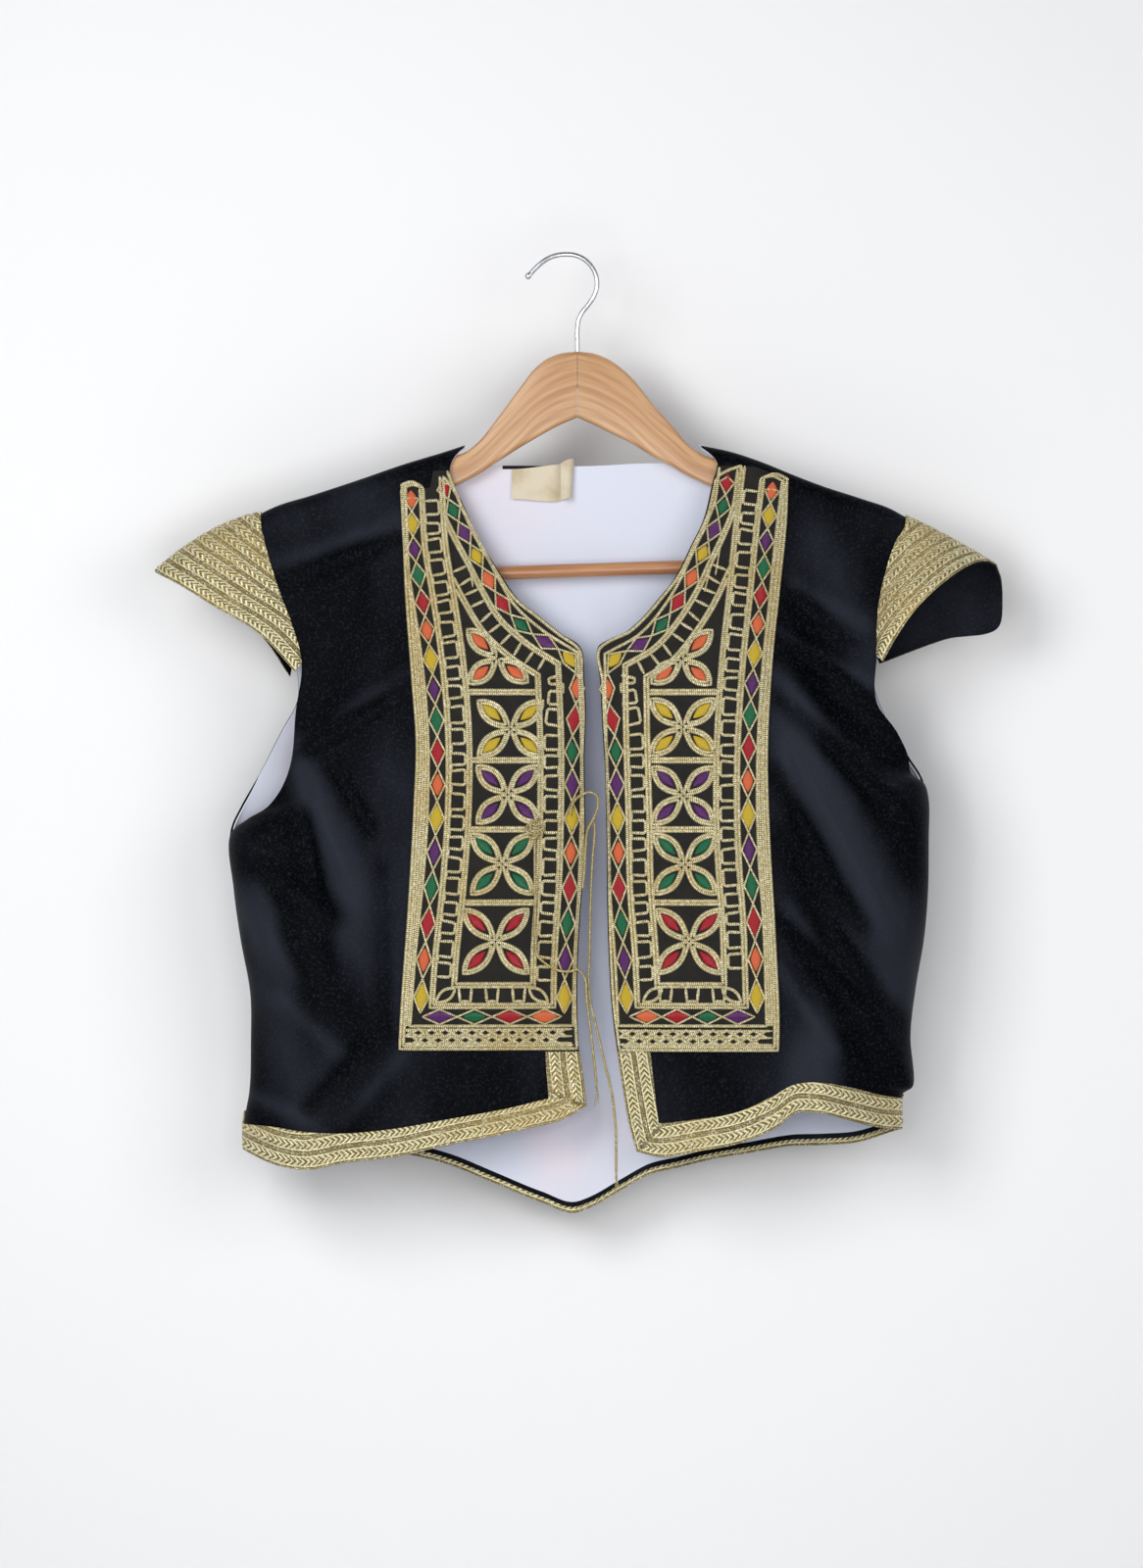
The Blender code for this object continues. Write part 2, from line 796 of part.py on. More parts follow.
def front_grid(side):
    """Rows from the hem up and columns from the front edge to the side."""
    rows = []
    hem = side.hem
    inner_hem, outer_hem = hem[0], hem[-1]
    for share in HEM_ROW_SHARES:
        x = row_columns(side, inner_hem.x, outer_hem.x)
        bottom = value_at(hem, "x", "bottom", x)
        top = value_at(hem, "x", "braid_top", x)
        z = bottom + (top - bottom) * share
        lean = (side.sections[0].inner_x - inner_hem.x) * share * HEM_LEAN
        reach = np.abs(x - outer_hem.x) / abs(inner_hem.x - outer_hem.x)
        rows.append((x + lean * reach, z))
    count = len(side.sections)
    for index, section in enumerate(side.sections):
        x = row_columns(side, section.inner_x, section.outer_x)
        share = (x - section.inner_x) / (section.outer_x - section.inner_x)
        z = section.inner_z + (section.outer_z - section.inner_z) * share
        if index >= count - RIDGE_ROWS:
            near = (index - (count - RIDGE_ROWS - 1)) / RIDGE_ROWS
            inner = (section.inner_x, section.inner_z)
            outer = (section.outer_x, section.outer_z)
            z = z + lift_over_ridge(side, x, inner, outer) * near
        if index < len(SAG_SHARES):
            line = inner_hem.bottom + (outer_hem.bottom - inner_hem.bottom) * share
            sag = value_at(hem, "x", "bottom", x) - line
            z = z + sag * SAG_SHARES[index]
        rows.append((x, z))
    grid = np.zeros((len(rows), len(rows[0][0]), 3))
    for index, (x, z) in enumerate(rows):
        depth = front_depth(side, x, z)
        if index == len(rows) - 1:
            z = ridge_height(x)
            depth = np.zeros_like(x)
        grid[index, :, 0] = x
        grid[index, :, 1] = -(SEAM_HALF_GAP + depth)
        grid[index, :, 2] = z
    return grid


def row_columns(side, inner_x, outer_x):
    start_roll = outer_x - side.sign * SIDE_ROLL
    inner_part = [inner_x + (start_roll - inner_x) * share for share in side.columns]
    roll_part = [outer_x - side.sign * step for step in SIDE_ROLL_STEPS]
    return np.array(inner_part + roll_part)


def back_grid():
    """Rows from the hem up, then the rows that only the two shoulders have."""
    hem_left, hem_right = BACK_HEM[0], BACK_HEM[-1]
    neck_left, neck_right = BACK_NECK[0], BACK_NECK[-1]
    rows = []
    for level in (0.0, BRAID_BELOW_VELVET, BRAID_BELOW_LINING, BACK_BRAID_HEIGHT):
        x = back_columns(0.0, hem_left.x, hem_right.x)
        rows.append((x, value_at(BACK_HEM, "x", "z", x) + level))
    for row in BACK_ROWS:
        left_share = (row.left_z - hem_left.z) / (neck_left.z - hem_left.z)
        right_share = (row.right_z - hem_right.z) / (neck_right.z - hem_right.z)
        left_x = float(value_at(BACK_LEFT_EDGE, "z", "x", row.left_z))
        right_x = float(value_at(BACK_RIGHT_EDGE, "z", "x", row.right_z))
        x = back_columns((left_share + right_share) / 2, left_x, right_x)
        across = (x - left_x) / (right_x - left_x)
        share = left_share + (right_share - left_share) * across
        bottom = value_at(BACK_HEM, "x", "z", x)
        rows.append((x, bottom + (value_at(BACK_NECK, "x", "z", x) - bottom) * share))
    for index in range(SHOULDER_ROWS):
        rows.append(shoulder_row(index))
    grid = np.zeros((len(rows), len(rows[0][0]), 3))
    for index, (x, z) in enumerate(rows):
        grid[index, :, 0] = x
        grid[index, :, 1] = SEAM_HALF_GAP + back_depth(x, z)
        grid[index, :, 2] = z
    return grid


def shoulder_row(index):
    left = LEFT.sections[index - SHOULDER_ROWS]
    right = RIGHT.sections[index - SHOULDER_ROWS]
    x = back_columns(1.0, left.outer_x, right.outer_x)
    x[LEFT_NECK_COLUMN] = left.inner_x
    x[RIGHT_NECK_COLUMN] = right.inner_x
    z = np.full_like(x, left.inner_z)
    near = (index + 1) / SHOULDER_ROWS
    for side, section, part in (
        (LEFT, left, slice(0, LEFT_NECK_COLUMN + 1)),
        (RIGHT, right, slice(RIGHT_NECK_COLUMN, len(x))),
    ):
        share = (x[part] - section.inner_x) / (section.outer_x - section.inner_x)
        straight = section.inner_z + (section.outer_z - section.inner_z) * share
        inner = (section.inner_x, section.inner_z)
        outer = (section.outer_x, section.outer_z)
        z[part] = straight + lift_over_ridge(side, x[part], inner, outer) * near
    if index == SHOULDER_ROWS - 1:
        z = ridge_height(x)
    return x, z


def back_columns(share, left_x, right_x):
    left_roll = [left_x + step for step in reversed(SIDE_ROLL_STEPS)]
    right_roll = [right_x - step for step in SIDE_ROLL_STEPS]
    middle = [c.hem_x + (c.top_x - c.hem_x) * share for c in BACK_COLUMNS]
    return np.array(left_roll + middle + right_roll)


def back_cells(first_row, last_row, columns):
    cells = []
    full_rows = 4 + len(BACK_ROWS) - 1
    for row in range(first_row, last_row):
        for place in range(columns - 1):
            in_neck = LEFT_NECK_COLUMN <= place < RIGHT_NECK_COLUMN
            if row < full_rows or not in_neck:
                cells.append((row, place))
    return cells


def cell_normals(grid, cells, facing):
    flat_grid = grid.reshape(-1, 3)
    normals = np.zeros_like(flat_grid)
    for cell in cells:
        for half in split_quad(cell_corners(cell, grid.shape[1])):
            a, b, c = flat_grid[list(half)]
            normal = unit(np.cross(b - a, c - a))
            for i, here, one, other in ((half[0], a, b, c), (half[1], b, c, a), (half[2], c, a, b)):
                spread = float(np.clip(unit(one - here) @ unit(other - here), -1, 1))
                normals[i] += normal * math.acos(spread)
    if np.sum(normals @ np.array(facing, float)) < 0:
        normals = -normals
    flat = np.abs(flat_grid[:, 1]) < SEAM_HALF_GAP + SEAM_TOLERANCE
    normals[flat, 1] = 0.0
    return unit(normals).reshape(grid.shape)


def unit(vectors):
    length = np.linalg.norm(vectors, axis=-1, keepdims=True)
    return vectors / np.maximum(length, 1e-9)


def averaged_tangents(grid, axis):
    steps = unit(np.diff(grid, axis=axis))
    first = np.take(steps, [0], axis=axis)
    last = np.take(steps, [-1], axis=axis)
    return unit(np.concatenate([first, steps], axis) + np.concatenate([steps, last], axis))


def grid_normals(grid, facing):
    normals = unit(np.cross(averaged_tangents(grid, 1), averaged_tangents(grid, 0)))
    if np.sum(normals @ np.array(facing, float)) < 0:
        normals = -normals
    flat = np.abs(grid[:, :, 1]) < SEAM_HALF_GAP + SEAM_TOLERANCE
    normals[flat, 1] = 0.0
    return unit(normals)


def wall(name, grid, normals, face, back, finish):
    """Closed wall between two offsets of one grid."""
    rows, columns = grid.shape[:2]
    outer = (grid + normals * face).reshape(-1, 3)
    inner = (grid + normals * back).reshape(-1, 3)
    points = list(outer) + list(inner)
    shift = rows * columns
    faces = []
    for r in range(rows - 1):
        for c in range(columns - 1):
            a = r * columns + c
            quad = (a, a + 1, a + columns + 1, a + columns)
            for half in split_quad(quad):
                faces.append(half)
                faces.append(tuple(i + shift for i in reversed(half)))
    rim = [(0, c) for c in range(columns)]
    rim += [(r, columns - 1) for r in range(1, rows)]
    rim += [(rows - 1, c) for c in range(columns - 2, -1, -1)]
    rim += [(r, 0) for r in range(rows - 2, 0, -1)]
    ids = [r * columns + c for r, c in rim]
    for a, b in zip(ids, ids[1:] + ids[:1]):
        faces.append((b, a, a + shift, b + shift))
    add_solid(name, points, faces, finish)


def split_quad(quad):
    a, b, c, d = quad
    return (a, b, c), (a, c, d)


def cell_wall(name, grid, normals, cells, face, back, finish):
    """Closed wall over chosen cells of one grid."""
    columns = grid.shape[1]
    used = sorted({i for cell in cells for i in cell_corners(cell, columns)})
    number = {old: new for new, old in enumerate(used)}
    flat_grid = grid.reshape(-1, 3)[used]
    flat_normals = normals.reshape(-1, 3)[used]
    points = list(flat_grid + flat_normals * face) + list(flat_grid + flat_normals * back)
    shift = len(used)
    faces = []
    sides = {}
    for cell in cells:
        quad = [number[i] for i in cell_corners(cell, columns)]
        for half in split_quad(quad):
            faces.append(half)
            faces.append(tuple(i + shift for i in reversed(half)))
        for a, b in zip(quad, quad[1:] + quad[:1]):
            if (b, a) in sides:
                del sides[(b, a)]
            else:
                sides[(a, b)] = True
    for a, b in sides:
        faces.append((b, a, a + shift, b + shift))
    add_solid(name, points, faces, finish)


def cell_corners(cell, columns):
    r, c = cell
    a = r * columns + c
    return (a, a + 1, a + columns + 1, a + columns)


def make_front(side):
    grid = front_grid(side)
    normals = grid_normals(grid, (0, -1, 0))
    wall("front_" + side.name, grid, normals, 0.0, -VELVET, BLACK_VELVET)
    wall("front_lining_" + side.name, grid[1:], normals[1:], LINING_FACE, LINING_BACK, WHITE_LINING)
    columns = grid.shape[1]
    cells = [(r, c) for r in (0, 1) for c in range(columns - 1)]
    cells.append((2, 0))
    cell_wall("hem_braid_" + side.name, grid, normals, cells, BRAID_FACE, BRAID_BACK, GOLD_BRAID)
    return grid


def make_back():
    grid = back_grid()
    rows, columns = grid.shape[:2]
    normals = cell_normals(grid, back_cells(0, rows - 1, columns), (0, 1, 0))
    velvet = back_cells(1, rows - 1, columns)
    lining = back_cells(2, rows - 1, columns)
    cell_wall("back_panel", grid, normals, velvet, 0.0, -VELVET, BLACK_VELVET)
    cell_wall("back_lining", grid, normals, lining, LINING_FACE, LINING_BACK, WHITE_LINING)
    wall("hem_braid_back", grid[:4], normals[:4], BRAID_FACE, BRAID_BACK, GOLD_BRAID)
    return grid


def along_line(points):
    """Distance of each point from the first, measured along the line."""
    steps = np.linalg.norm(np.diff(points, axis=0), axis=1)
    return np.concatenate([[0.0], np.cumsum(steps)])


def seam_shares(seam):
    where = along_line(seam)
    return where / where[-1]


def hem_at(rows, shares):
    points = np.array([[row.x, row.y, row.z] for row in rows], float)
    where = along_line(points)
    wanted = np.asarray(shares) * where[-1]
    return np.array([np.interp(wanted, where, points[:, i]) for i in range(3)]).T


def make_sleeve(side, front, back_edge, front_hem, back_hem, notch_row, crown):
    """Rings from the armhole seam out to the sleeve's hem."""
    front_edge = front[3 + notch_row:, -1]
    over = back_edge[4 + BACK_NOTCH_ROW:][::-1]
    middle = (front_edge[-1] + over[0]) / 2
    seam = np.concatenate([front_edge[:-1], [middle], over[1:]])
    front_count = len(front_edge)
    front_shares = seam_shares(seam[:front_count])
    back_shares = seam_shares(seam[front_count - 1:])
    front_part = hem_at(front_hem, spread_to_tip(front_shares))
    back_part = hem_at(back_hem, 1.0 - spread_to_tip((1.0 - back_shares)[::-1])[::-1])
    hem = np.concatenate([front_part, back_part[1:]])
    tip_share = np.concatenate([front_shares, (1.0 - back_shares)[1:]])
    rings = []
    for ring in range(SLEEVE_RINGS + 1):
        share = ring / SLEEVE_RINGS
        line = seam + (hem - seam) * share
        rise = 4 * share * (1 - share) * crown * tip_share ** 2
        line[:, 2] = line[:, 2] + rise
        bow = 4 * share * (1 - share) * SLEEVE_BOW * (1 - tip_share ** 4)
        line[:front_count, 1] -= bow[:front_count]
        line[front_count:, 1] += bow[front_count:]
        rings.append(line)
    grid = np.array(rings)
    grid[:, :, 0] += side.sign * SLEEVE_CLEARANCE
    normals = sleeve_normals(grid, front_count - 1)
    wall("sleeve_" + side.name, grid, normals, 0.0, -VELVET, BLACK_VELVET)
    wall("sleeve_braid_" + side.name, grid, normals, BRAID_FACE, BRAID_BACK, GOLD_BRAID)


def spread_to_tip(shares):
    return 1.0 - (1.0 - shares) ** TIP_SPREAD


def sleeve_normals(grid, ridge_column):
    normals = unit(np.cross(averaged_tangents(grid, 1), averaged_tangents(grid, 0)))
    if np.sum(normals[:, ridge_column, 2]) < 0:
        normals = -normals
    return normals


def offset_line(points, distance):
    points = np.array(points, float)
    steps = unit(np.diff(points, axis=0))
    sideways = np.stack([-steps[:, 1], steps[:, 0]], axis=1)
    moved = [points[0] + sideways[0] * distance]
    for index in range(1, len(points) - 1):
        joined = unit(sideways[index - 1] + sideways[index])
        stretch = max(CORNER_STRETCH, float(joined @ sideways[index]))
        moved.append(points[index] + joined * distance / stretch)
    moved.append(points[-1] + sideways[-1] * distance)
    return np.array(moved)


def offset_loop(points, distance):
    points = np.array(points, float)
    before = unit(points - np.roll(points, 1, axis=0))
    after = unit(np.roll(points, -1, axis=0) - points)
    side_before = np.stack([-before[:, 1], before[:, 0]], axis=1)
    side_after = np.stack([-after[:, 1], after[:, 0]], axis=1)
    joined = unit(side_before + side_after)
    stretch = np.maximum(CORNER_STRETCH, np.sum(joined * side_after, axis=1))
    return points + joined * (distance / stretch)[:, None]


def grown_loop(points, distance):
    """The closed outline moved outward by the distance, inward when it is negative."""
    return offset_loop(points, loop_turn(points) * distance)


def resample(points, step):
    points = np.array(points, float)
    result = [points[0]]
    for start, end in zip(points[:-1], points[1:]):
        pieces = max(1, int(round(np.linalg.norm(end - start) / step)))
        for piece in range(1, pieces + 1):
            result.append(start + (end - start) * piece / pieces)
    return np.array(result)


def pairs(rows):
    return [(row.x, row.z) for row in rows]


class Relief:
    """Flat pattern of low and raised points for one embroidered panel."""

    def __init__(self):
        self.points = []
        self.levels = []
        self.edges = []

    def line(self, points, level, closed=False):
        start = len(self.points)
        for point in points:
            self.points.append(Vector((float(point[0]), float(point[1]))))
            self.levels.append(level)
        count = len(points)
        for index in range(count - 1):
            self.edges.append((start + index, start + index + 1))
        if closed:
            self.edges.append((start + count - 1, start))

    def spot(self, point, level):
        self.points.append(Vector((float(point[0]), float(point[1]))))
        self.levels.append(level)

    def lozenge(self, centre, along, across):
        centre = np.array(centre, float)
        corners = [centre + along, centre + across, centre - along, centre - across]
        self.line(corners, 0.0, True)
        self.spot(centre, 0.8)


def inner_outline(side):
    edge = []
    for section in side.sections:
        if section.inner_z > PANEL_NECK_TOP:
            continue
        edge.append((section.inner_x + side.sign * PANEL_INSET, section.inner_z))
    return edge


def panel_outline(side, top, outer):
    start = (side.sections[0].inner_x + side.sign * PANEL_INSET, outer[-1].z)
    return [start] + inner_outline(side)[1:] + pairs(top) + pairs(outer)


def chain_lozenges(relief, line, first):
    """Raised lozenges at even steps along a line, the first and last set in from its ends."""
    line = np.array(line, float)
    where = along_line(line)
    free = where[-1] - 2 * first
    count = max(1, int(round(free / LOZENGE_STEP)))
    for index in range(count + 1):
        place = first + free * index / count
        centre = np.array([np.interp(place, where, line[:, i]) for i in range(2)])
        ahead = np.array([np.interp(place + 1.0, where, line[:, i]) for i in range(2)])
        behind = np.array([np.interp(place - 1.0, where, line[:, i]) for i in range(2)])
        along = unit(ahead - behind)
        across = np.array([-along[1], along[0]])
        relief.lozenge(centre, along * LOZENGE_HALF, across * LOZENGE_HALF / 2)


def panel_relief(side, outline, outer, inner, neck, frame):
    relief = Relief()
    path = resample(pairs(outer) + pairs(inner) + pairs(neck), FINE_STEP)
    relief.line(open_ring(outline, EDGE_STEP), 0.0, True)
    relief.line(open_ring(grown_loop(outline, -PANEL_BEVEL), FINE_STEP), 1.0, True)
    for distance, level in CHAIN_LINES:
        relief.line(offset_line(path, side.sign * distance), level)
    chain_lozenges(relief, pairs(outer), OUTER_START)
    chain_lozenges(relief, pairs(outer[-1:]) + pairs(inner[:1]), BOTTOM_START)
    chain_lozenges(relief, pairs(inner), INNER_START)
    chain_lozenges(relief, pairs(inner[-1:]) + pairs(neck), NECK_START)
    add_frame(relief, frame)
    return relief


def open_ring(loop, step):
    """Points round a closed outline, the first not repeated at the end."""
    loop = [tuple(point) for point in loop]
    return resample(loop + [loop[0]], step)[:-1]


def loop_turn(points):
    points = np.array(points, float)
    following = np.roll(points, -1, axis=0)
    area = np.sum(points[:, 0] * following[:, 1] - following[:, 0] * points[:, 1])
    return -1.0 if area > 0 else 1.0


def frame_x(frame, name, z):
    return float(value_at(frame, "z", name, z))


def add_frame(relief, frame):
    """Ladder of raised bars with one flower in each cell."""
    levels = [row.z for row in frame]
    left = [(row.left_x, row.z) for row in frame]
    right = [(row.right_x, row.z) for row in reversed(frame)]
    loop = left + right
    for inset, level in ((0.0, 0.0), (CORD_BEVEL, 1.0)):
        relief.line(open_ring(grown_loop(loop, -inset), FRAME_STEP), level, True)
    inner = FRAME_CORD + CORD_BEVEL
    bars = [levels[0] + inner] + list(BAR_LEVELS) + [levels[-1] - inner]
    for low, high in zip(bars[:-1], bars[1:]):
        bottom = low + (0.0 if low == bars[0] else FRAME_CORD / 2 + CORD_BEVEL)
        top = high - (0.0 if high == bars[-1] else FRAME_CORD / 2 + CORD_BEVEL)
        cell = []
        for z in (bottom, top):
            cell.append((frame_x(frame, "left_x", z) + inner, z))
        for z in (top, bottom):
            cell.append((frame_x(frame, "right_x", z) - inner, z))
        relief.line(cell, 0.0, True)
        relief.line(grown_loop(cell, CORD_BEVEL), 1.0, True)
        add_flower(relief, cell)


def add_flower(relief, cell):
    centre = np.mean(np.array(cell), axis=0)
    height = cell[1][1] - cell[0][1]
    reach = min(PETAL_REACH, 0.5 * height - 1.0)
    for sign_x, sign_z in ((1, 1), (-1, 1), (-1, -1), (1, -1)):
        direction = unit(np.array([sign_x * PETAL_LEAN.x, sign_z * PETAL_LEAN.z]))
        across = np.array([-direction[1], direction[0]])
        middle = centre + direction * (PETAL_START + reach) / 2
        half = (reach - PETAL_START) / 2
        relief.lozenge(middle, direction * half, across * PETAL_HALF)


def surface_point(side, x, z, offset):
    step = SLOPE_STEP
    depth = front_depth(side, x, z)
    slope_x = (front_depth(side, x + step, z) - front_depth(side, x - step, z)) / (2 * step)
    slope_z = (front_depth(side, x, z + step) - front_depth(side, x, z - step)) / (2 * step)
    normal = unit(np.stack([-slope_x, -np.ones_like(x), -slope_z], axis=-1))
    base = np.stack([x, -(SEAM_HALF_GAP + depth), z], axis=-1)
    return base + normal * np.asarray(offset)[..., None]


def flat_places(points):
    return np.array([p.x for p in points]), np.array([p.y for p in points])


def inside_loop(loop, point):
    inside = False
    for (x1, z1), (x2, z2) in zip(loop, loop[1:] + loop[:1]):
        if (z1 > point[1]) != (z2 > point[1]):
            crossing = x1 + (point[1] - z1) * (x2 - x1) / (z2 - z1)
            if point[0] < crossing:
                inside = not inside
    return inside


def triangulate(points, edges, outline):
    flat, _, faces, origins, _, _ = delaunay_2d_cdt(points, edges, [], 0, JOIN_DISTANCE, True)
    kept = []
    for face in faces:
        centre = (sum(flat[i].x for i in face) / 3, sum(flat[i].y for i in face) / 3)
        if inside_loop(outline, centre):
            kept.append(face)
    return flat, kept, origins


def make_embroidery(side, top, outer, chain_outer, chain_inner, chain_neck, frame):
    outline = panel_outline(side, top, outer)
    relief = panel_relief(side, outline, chain_outer, chain_inner, chain_neck, frame)
    wide = [tuple(p) for p in grown_loop(outline, SHOULDER_SPOT_MARGIN)]
    for x in SHOULDER_SPOTS_X:
        for below in SHOULDER_SPOTS_BELOW:
            spot = (x, float(ridge_height(x)) - below)
            if inside_loop(wide, spot):
                relief.spot(spot, 1.0)
    flat, faces, origins = triangulate(relief.points, relief.edges, outline)
    levels = []
    for ids in origins:
        levels.append(relief.levels[ids[0]] if ids else 0.0)
    offset = PANEL_GROUND + (PANEL_CORD - PANEL_GROUND) * np.array(levels)
    face_points = surface_point(side, *flat_places(flat), offset)
    rim = rim_loop(faces)
    plain = [flat[i] for i in rim]
    rim_count = len(rim)
    edges = [(i, (i + 1) % rim_count) for i in range(rim_count)]
    inner_loop = [tuple(p) for p in plain]
    grown = list(plain)
    for x in INSIDE_SPOTS_X:
        for z in INSIDE_SPOTS_Z:
            if clear_inside(inner_loop, (x, z), INSIDE_SPOT_MARGIN):
                grown.append(Vector((x, z)))
    back_flat, back_faces, back_origins = triangulate(grown, edges, inner_loop)
    back_offset = np.full(len(back_flat), PANEL_BACK)
    back_points = surface_point(side, *flat_places(back_flat), back_offset)
    shift = len(face_points)
    points = list(face_points) + list(back_points)
    all_faces = [tuple(f) for f in faces]
    all_faces += [tuple(i + shift for i in reversed(f)) for f in back_faces]
    back_number = {ids[0]: i for i, ids in enumerate(back_origins) if ids and ids[0] < rim_count}
    for a in range(rim_count):
        b = (a + 1) % rim_count
        all_faces.append((rim[b], rim[a], back_number[a] + shift, back_number[b] + shift))
    add_solid("embroidery_" + side.name, points, all_faces, GOLD_EMBROIDERY)


def clear_inside(loop, point, margin):
    if not inside_loop(loop, point):
        return False
    near = min(math.hypot(point[0] - x, point[1] - z) for x, z in loop)
    return near > margin


def rim_loop(faces):
    sides = {}
    for face in faces:
        for a, b in zip(face, list(face[1:]) + [face[0]]):
            sides[(a, b)] = True
    following = {a: b for a, b in sides if (b, a) not in sides}
    start = next(iter(following))
    loop = [start]
    while following[loop[-1]] != start:
        loop.append(following[loop[-1]])
    return loop


def smooth_route(points, step):
    """Points at even steps along a smooth curve through the route's own points."""
    points = np.asarray(points, float)
    where = along_line(points)
    steps = np.diff(where)[:, None]
    slopes = np.diff(points, axis=0) / steps
    weight = steps[1:] / (steps[1:] + steps[:-1])
    middle = slopes[:-1] * weight + slopes[1:] * (1 - weight)
    tangents = np.concatenate([slopes[:1], middle, slopes[-1:]])
    wanted = np.linspace(0.0, where[-1], int(where[-1] / step) + 1)
    index = np.clip(np.searchsorted(where, wanted, side="right") - 1, 0, len(steps) - 1)
    share = (wanted - where[index])[:, None] / steps[index]
    start, end = points[index], points[index + 1]
    curve = start + (end - start) * share * share * (3 - 2 * share)
    curve = curve + tangents[index] * steps[index] * share * (1 - share) ** 2
    return curve - tangents[index + 1] * steps[index] * share * share * (1 - share)


def add_tube(name, path, diameter, resolution, finish, tip_ball=0.0):
    """Round wire or cord as a curve with a bevel, with a ball at its far end if asked."""
    path = [Vector(place) for place in path]
    widths = [1.0] * len(path)
    tip = (path[-1] - path[-2]).normalized()
    end = path[-1]
    if tip_ball:
        for ring in TIP_BALL_RINGS:
            path.append(end + tip * tip_ball * ring.along)
            widths.append(tip_ball * ring.wide / (diameter / 2))
    curve = bpy.data.curves.new(name, "CURVE")
    curve.dimensions = "3D"
    curve.bevel_depth = diameter / 2 * MM
    curve.bevel_resolution = resolution
    curve.use_fill_caps = True
    spline = curve.splines.new("POLY")
    spline.points.add(len(path) - 1)
    for point, place, width in zip(spline.points, path, widths):
        point.co = (*(place * MM), 1.0)
        point.radius = width
    item = bpy.data.objects.new(name, curve)
    link_to_vest(item, finish)
    return item


def add_rod(name, start, end, radius, sides):
    """Cylinder laid between two points."""
    start = Vector(start) * MM
    end = Vector(end) * MM
    run = end - start
    bpy.ops.mesh.primitive_cylinder_add(
        vertices=sides, radius=radius * MM, depth=run.length, location=(start + end) / 2
    )
    item = bpy.context.active_object
    item.name = name
    item.data.name = name
    item.rotation_mode = "QUATERNION"
    item.rotation_quaternion = run.to_track_quat("Z", "Y")
    shade_round(item.data)
    return item


def add_board(name, outline, thickness, rounding, finish):
    """Upright board with rounded edges, drawn as a flat curve and made a mesh to be cut."""
    curve = bpy.data.curves.new(name, "CURVE")
    curve.dimensions = "2D"
    curve.fill_mode = "BOTH"
    curve.extrude = (thickness / 2 - rounding) * MM
    curve.bevel_depth = rounding * MM
    curve.bevel_resolution = BOARD_BEVEL_RESOLUTION
    curve.offset = -rounding * MM
    spline = curve.splines.new("POLY")
    spline.points.add(len(outline) - 1)
    spline.use_cyclic_u = True
    for point, (x, z) in zip(spline.points, outline):
        point.co = (x * MM, z * MM, 0.0, 1.0)
    drawing = bpy.data.objects.new(name + "_outline", curve)
    drawing.rotation_euler = (math.pi / 2, 0.0, 0.0)
    vest.objects.link(drawing)
    bpy.context.view_layer.update()
    evaluated = drawing.evaluated_get(bpy.context.evaluated_depsgraph_get())
    mesh = bpy.data.meshes.new_from_object(evaluated)
    mesh.name = name
    welded = bmesh.new()
    welded.from_mesh(mesh)
    bmesh.ops.remove_doubles(welded, verts=welded.verts, dist=WELD_DISTANCE)
    bmesh.ops.recalc_face_normals(welded, faces=welded.faces)
    welded.to_mesh(mesh)
    welded.free()
    shade_round(mesh)
    board = bpy.data.objects.new(name, mesh)
    board.matrix_world = drawing.matrix_world
    link_to_vest(board, finish)
    bpy.data.objects.remove(drawing)
    return board


def cut(item, cutter):
    cutter.hide_render = True
    cutter.display_type = "WIRE"
    for group in list(cutter.users_collection):
        group.objects.unlink(cutter)
    cutters.objects.link(cutter)
    change = item.modifiers.new("Cut", "BOOLEAN")
    change.operation = "DIFFERENCE"
    change.solver = "EXACT"
    change.object = cutter


def make_arm(name, stations):
    top = [(station.x, station.top) for station in stations]
    bottom = [(station.x, station.bottom) for station in reversed(stations)]
    return add_board(name, top + bottom, ARM_THICK, ARM_ROUND, ARM_WOOD)


def make_hanger():
    left = make_arm("hanger_arm_left", LEFT_ARM)
    right = make_arm("hanger_arm_right", RIGHT_ARM)
    start = Vector((BAR_LEFT.x, 0, BAR_LEFT.z))
    end = Vector((BAR_RIGHT.x, 0, BAR_RIGHT.z))
    along = (end - start).normalized()
    bar = add_rod("hanger_bar", start, end, BAR_DIAMETER / 2, BAR_SIDES)
    link_to_vest(bar, BAR_WOOD)
    hole = BAR_DIAMETER / 2 + SOCKET_CLEARANCE
    left_end = start - along * HOLE_BEYOND
    right_end = end + along * HOLE_BEYOND
    cut(left, add_rod("left_socket", left_end, start + along * SOCKET_LENGTH, hole, BAR_SIDES))
    cut(right, add_rod("right_socket", end - along * SOCKET_LENGTH, right_end, hole, BAR_SIDES))
    stem_low = (HOOK_PATH[0].x, 0, HOOK_PATH[0].z - HOLE_BEYOND)
    stem_high = (HOOK_PATH[0].x, 0, STEM_HOLE_TOP)
    stem = HOOK_DIAMETER / 2 + SOCKET_CLEARANCE
    cut(left, add_rod("left_stem_hole", stem_low, stem_high, stem, STEM_SIDES))
    cut(right, add_rod("right_stem_hole", stem_low, stem_high, stem, STEM_SIDES))
    path = [(point.x, 0, point.z) for point in HOOK_PATH]
    add_tube("hanger_hook", path, HOOK_DIAMETER, WIRE_RESOLUTION, WIRE, HOOK_BALL)


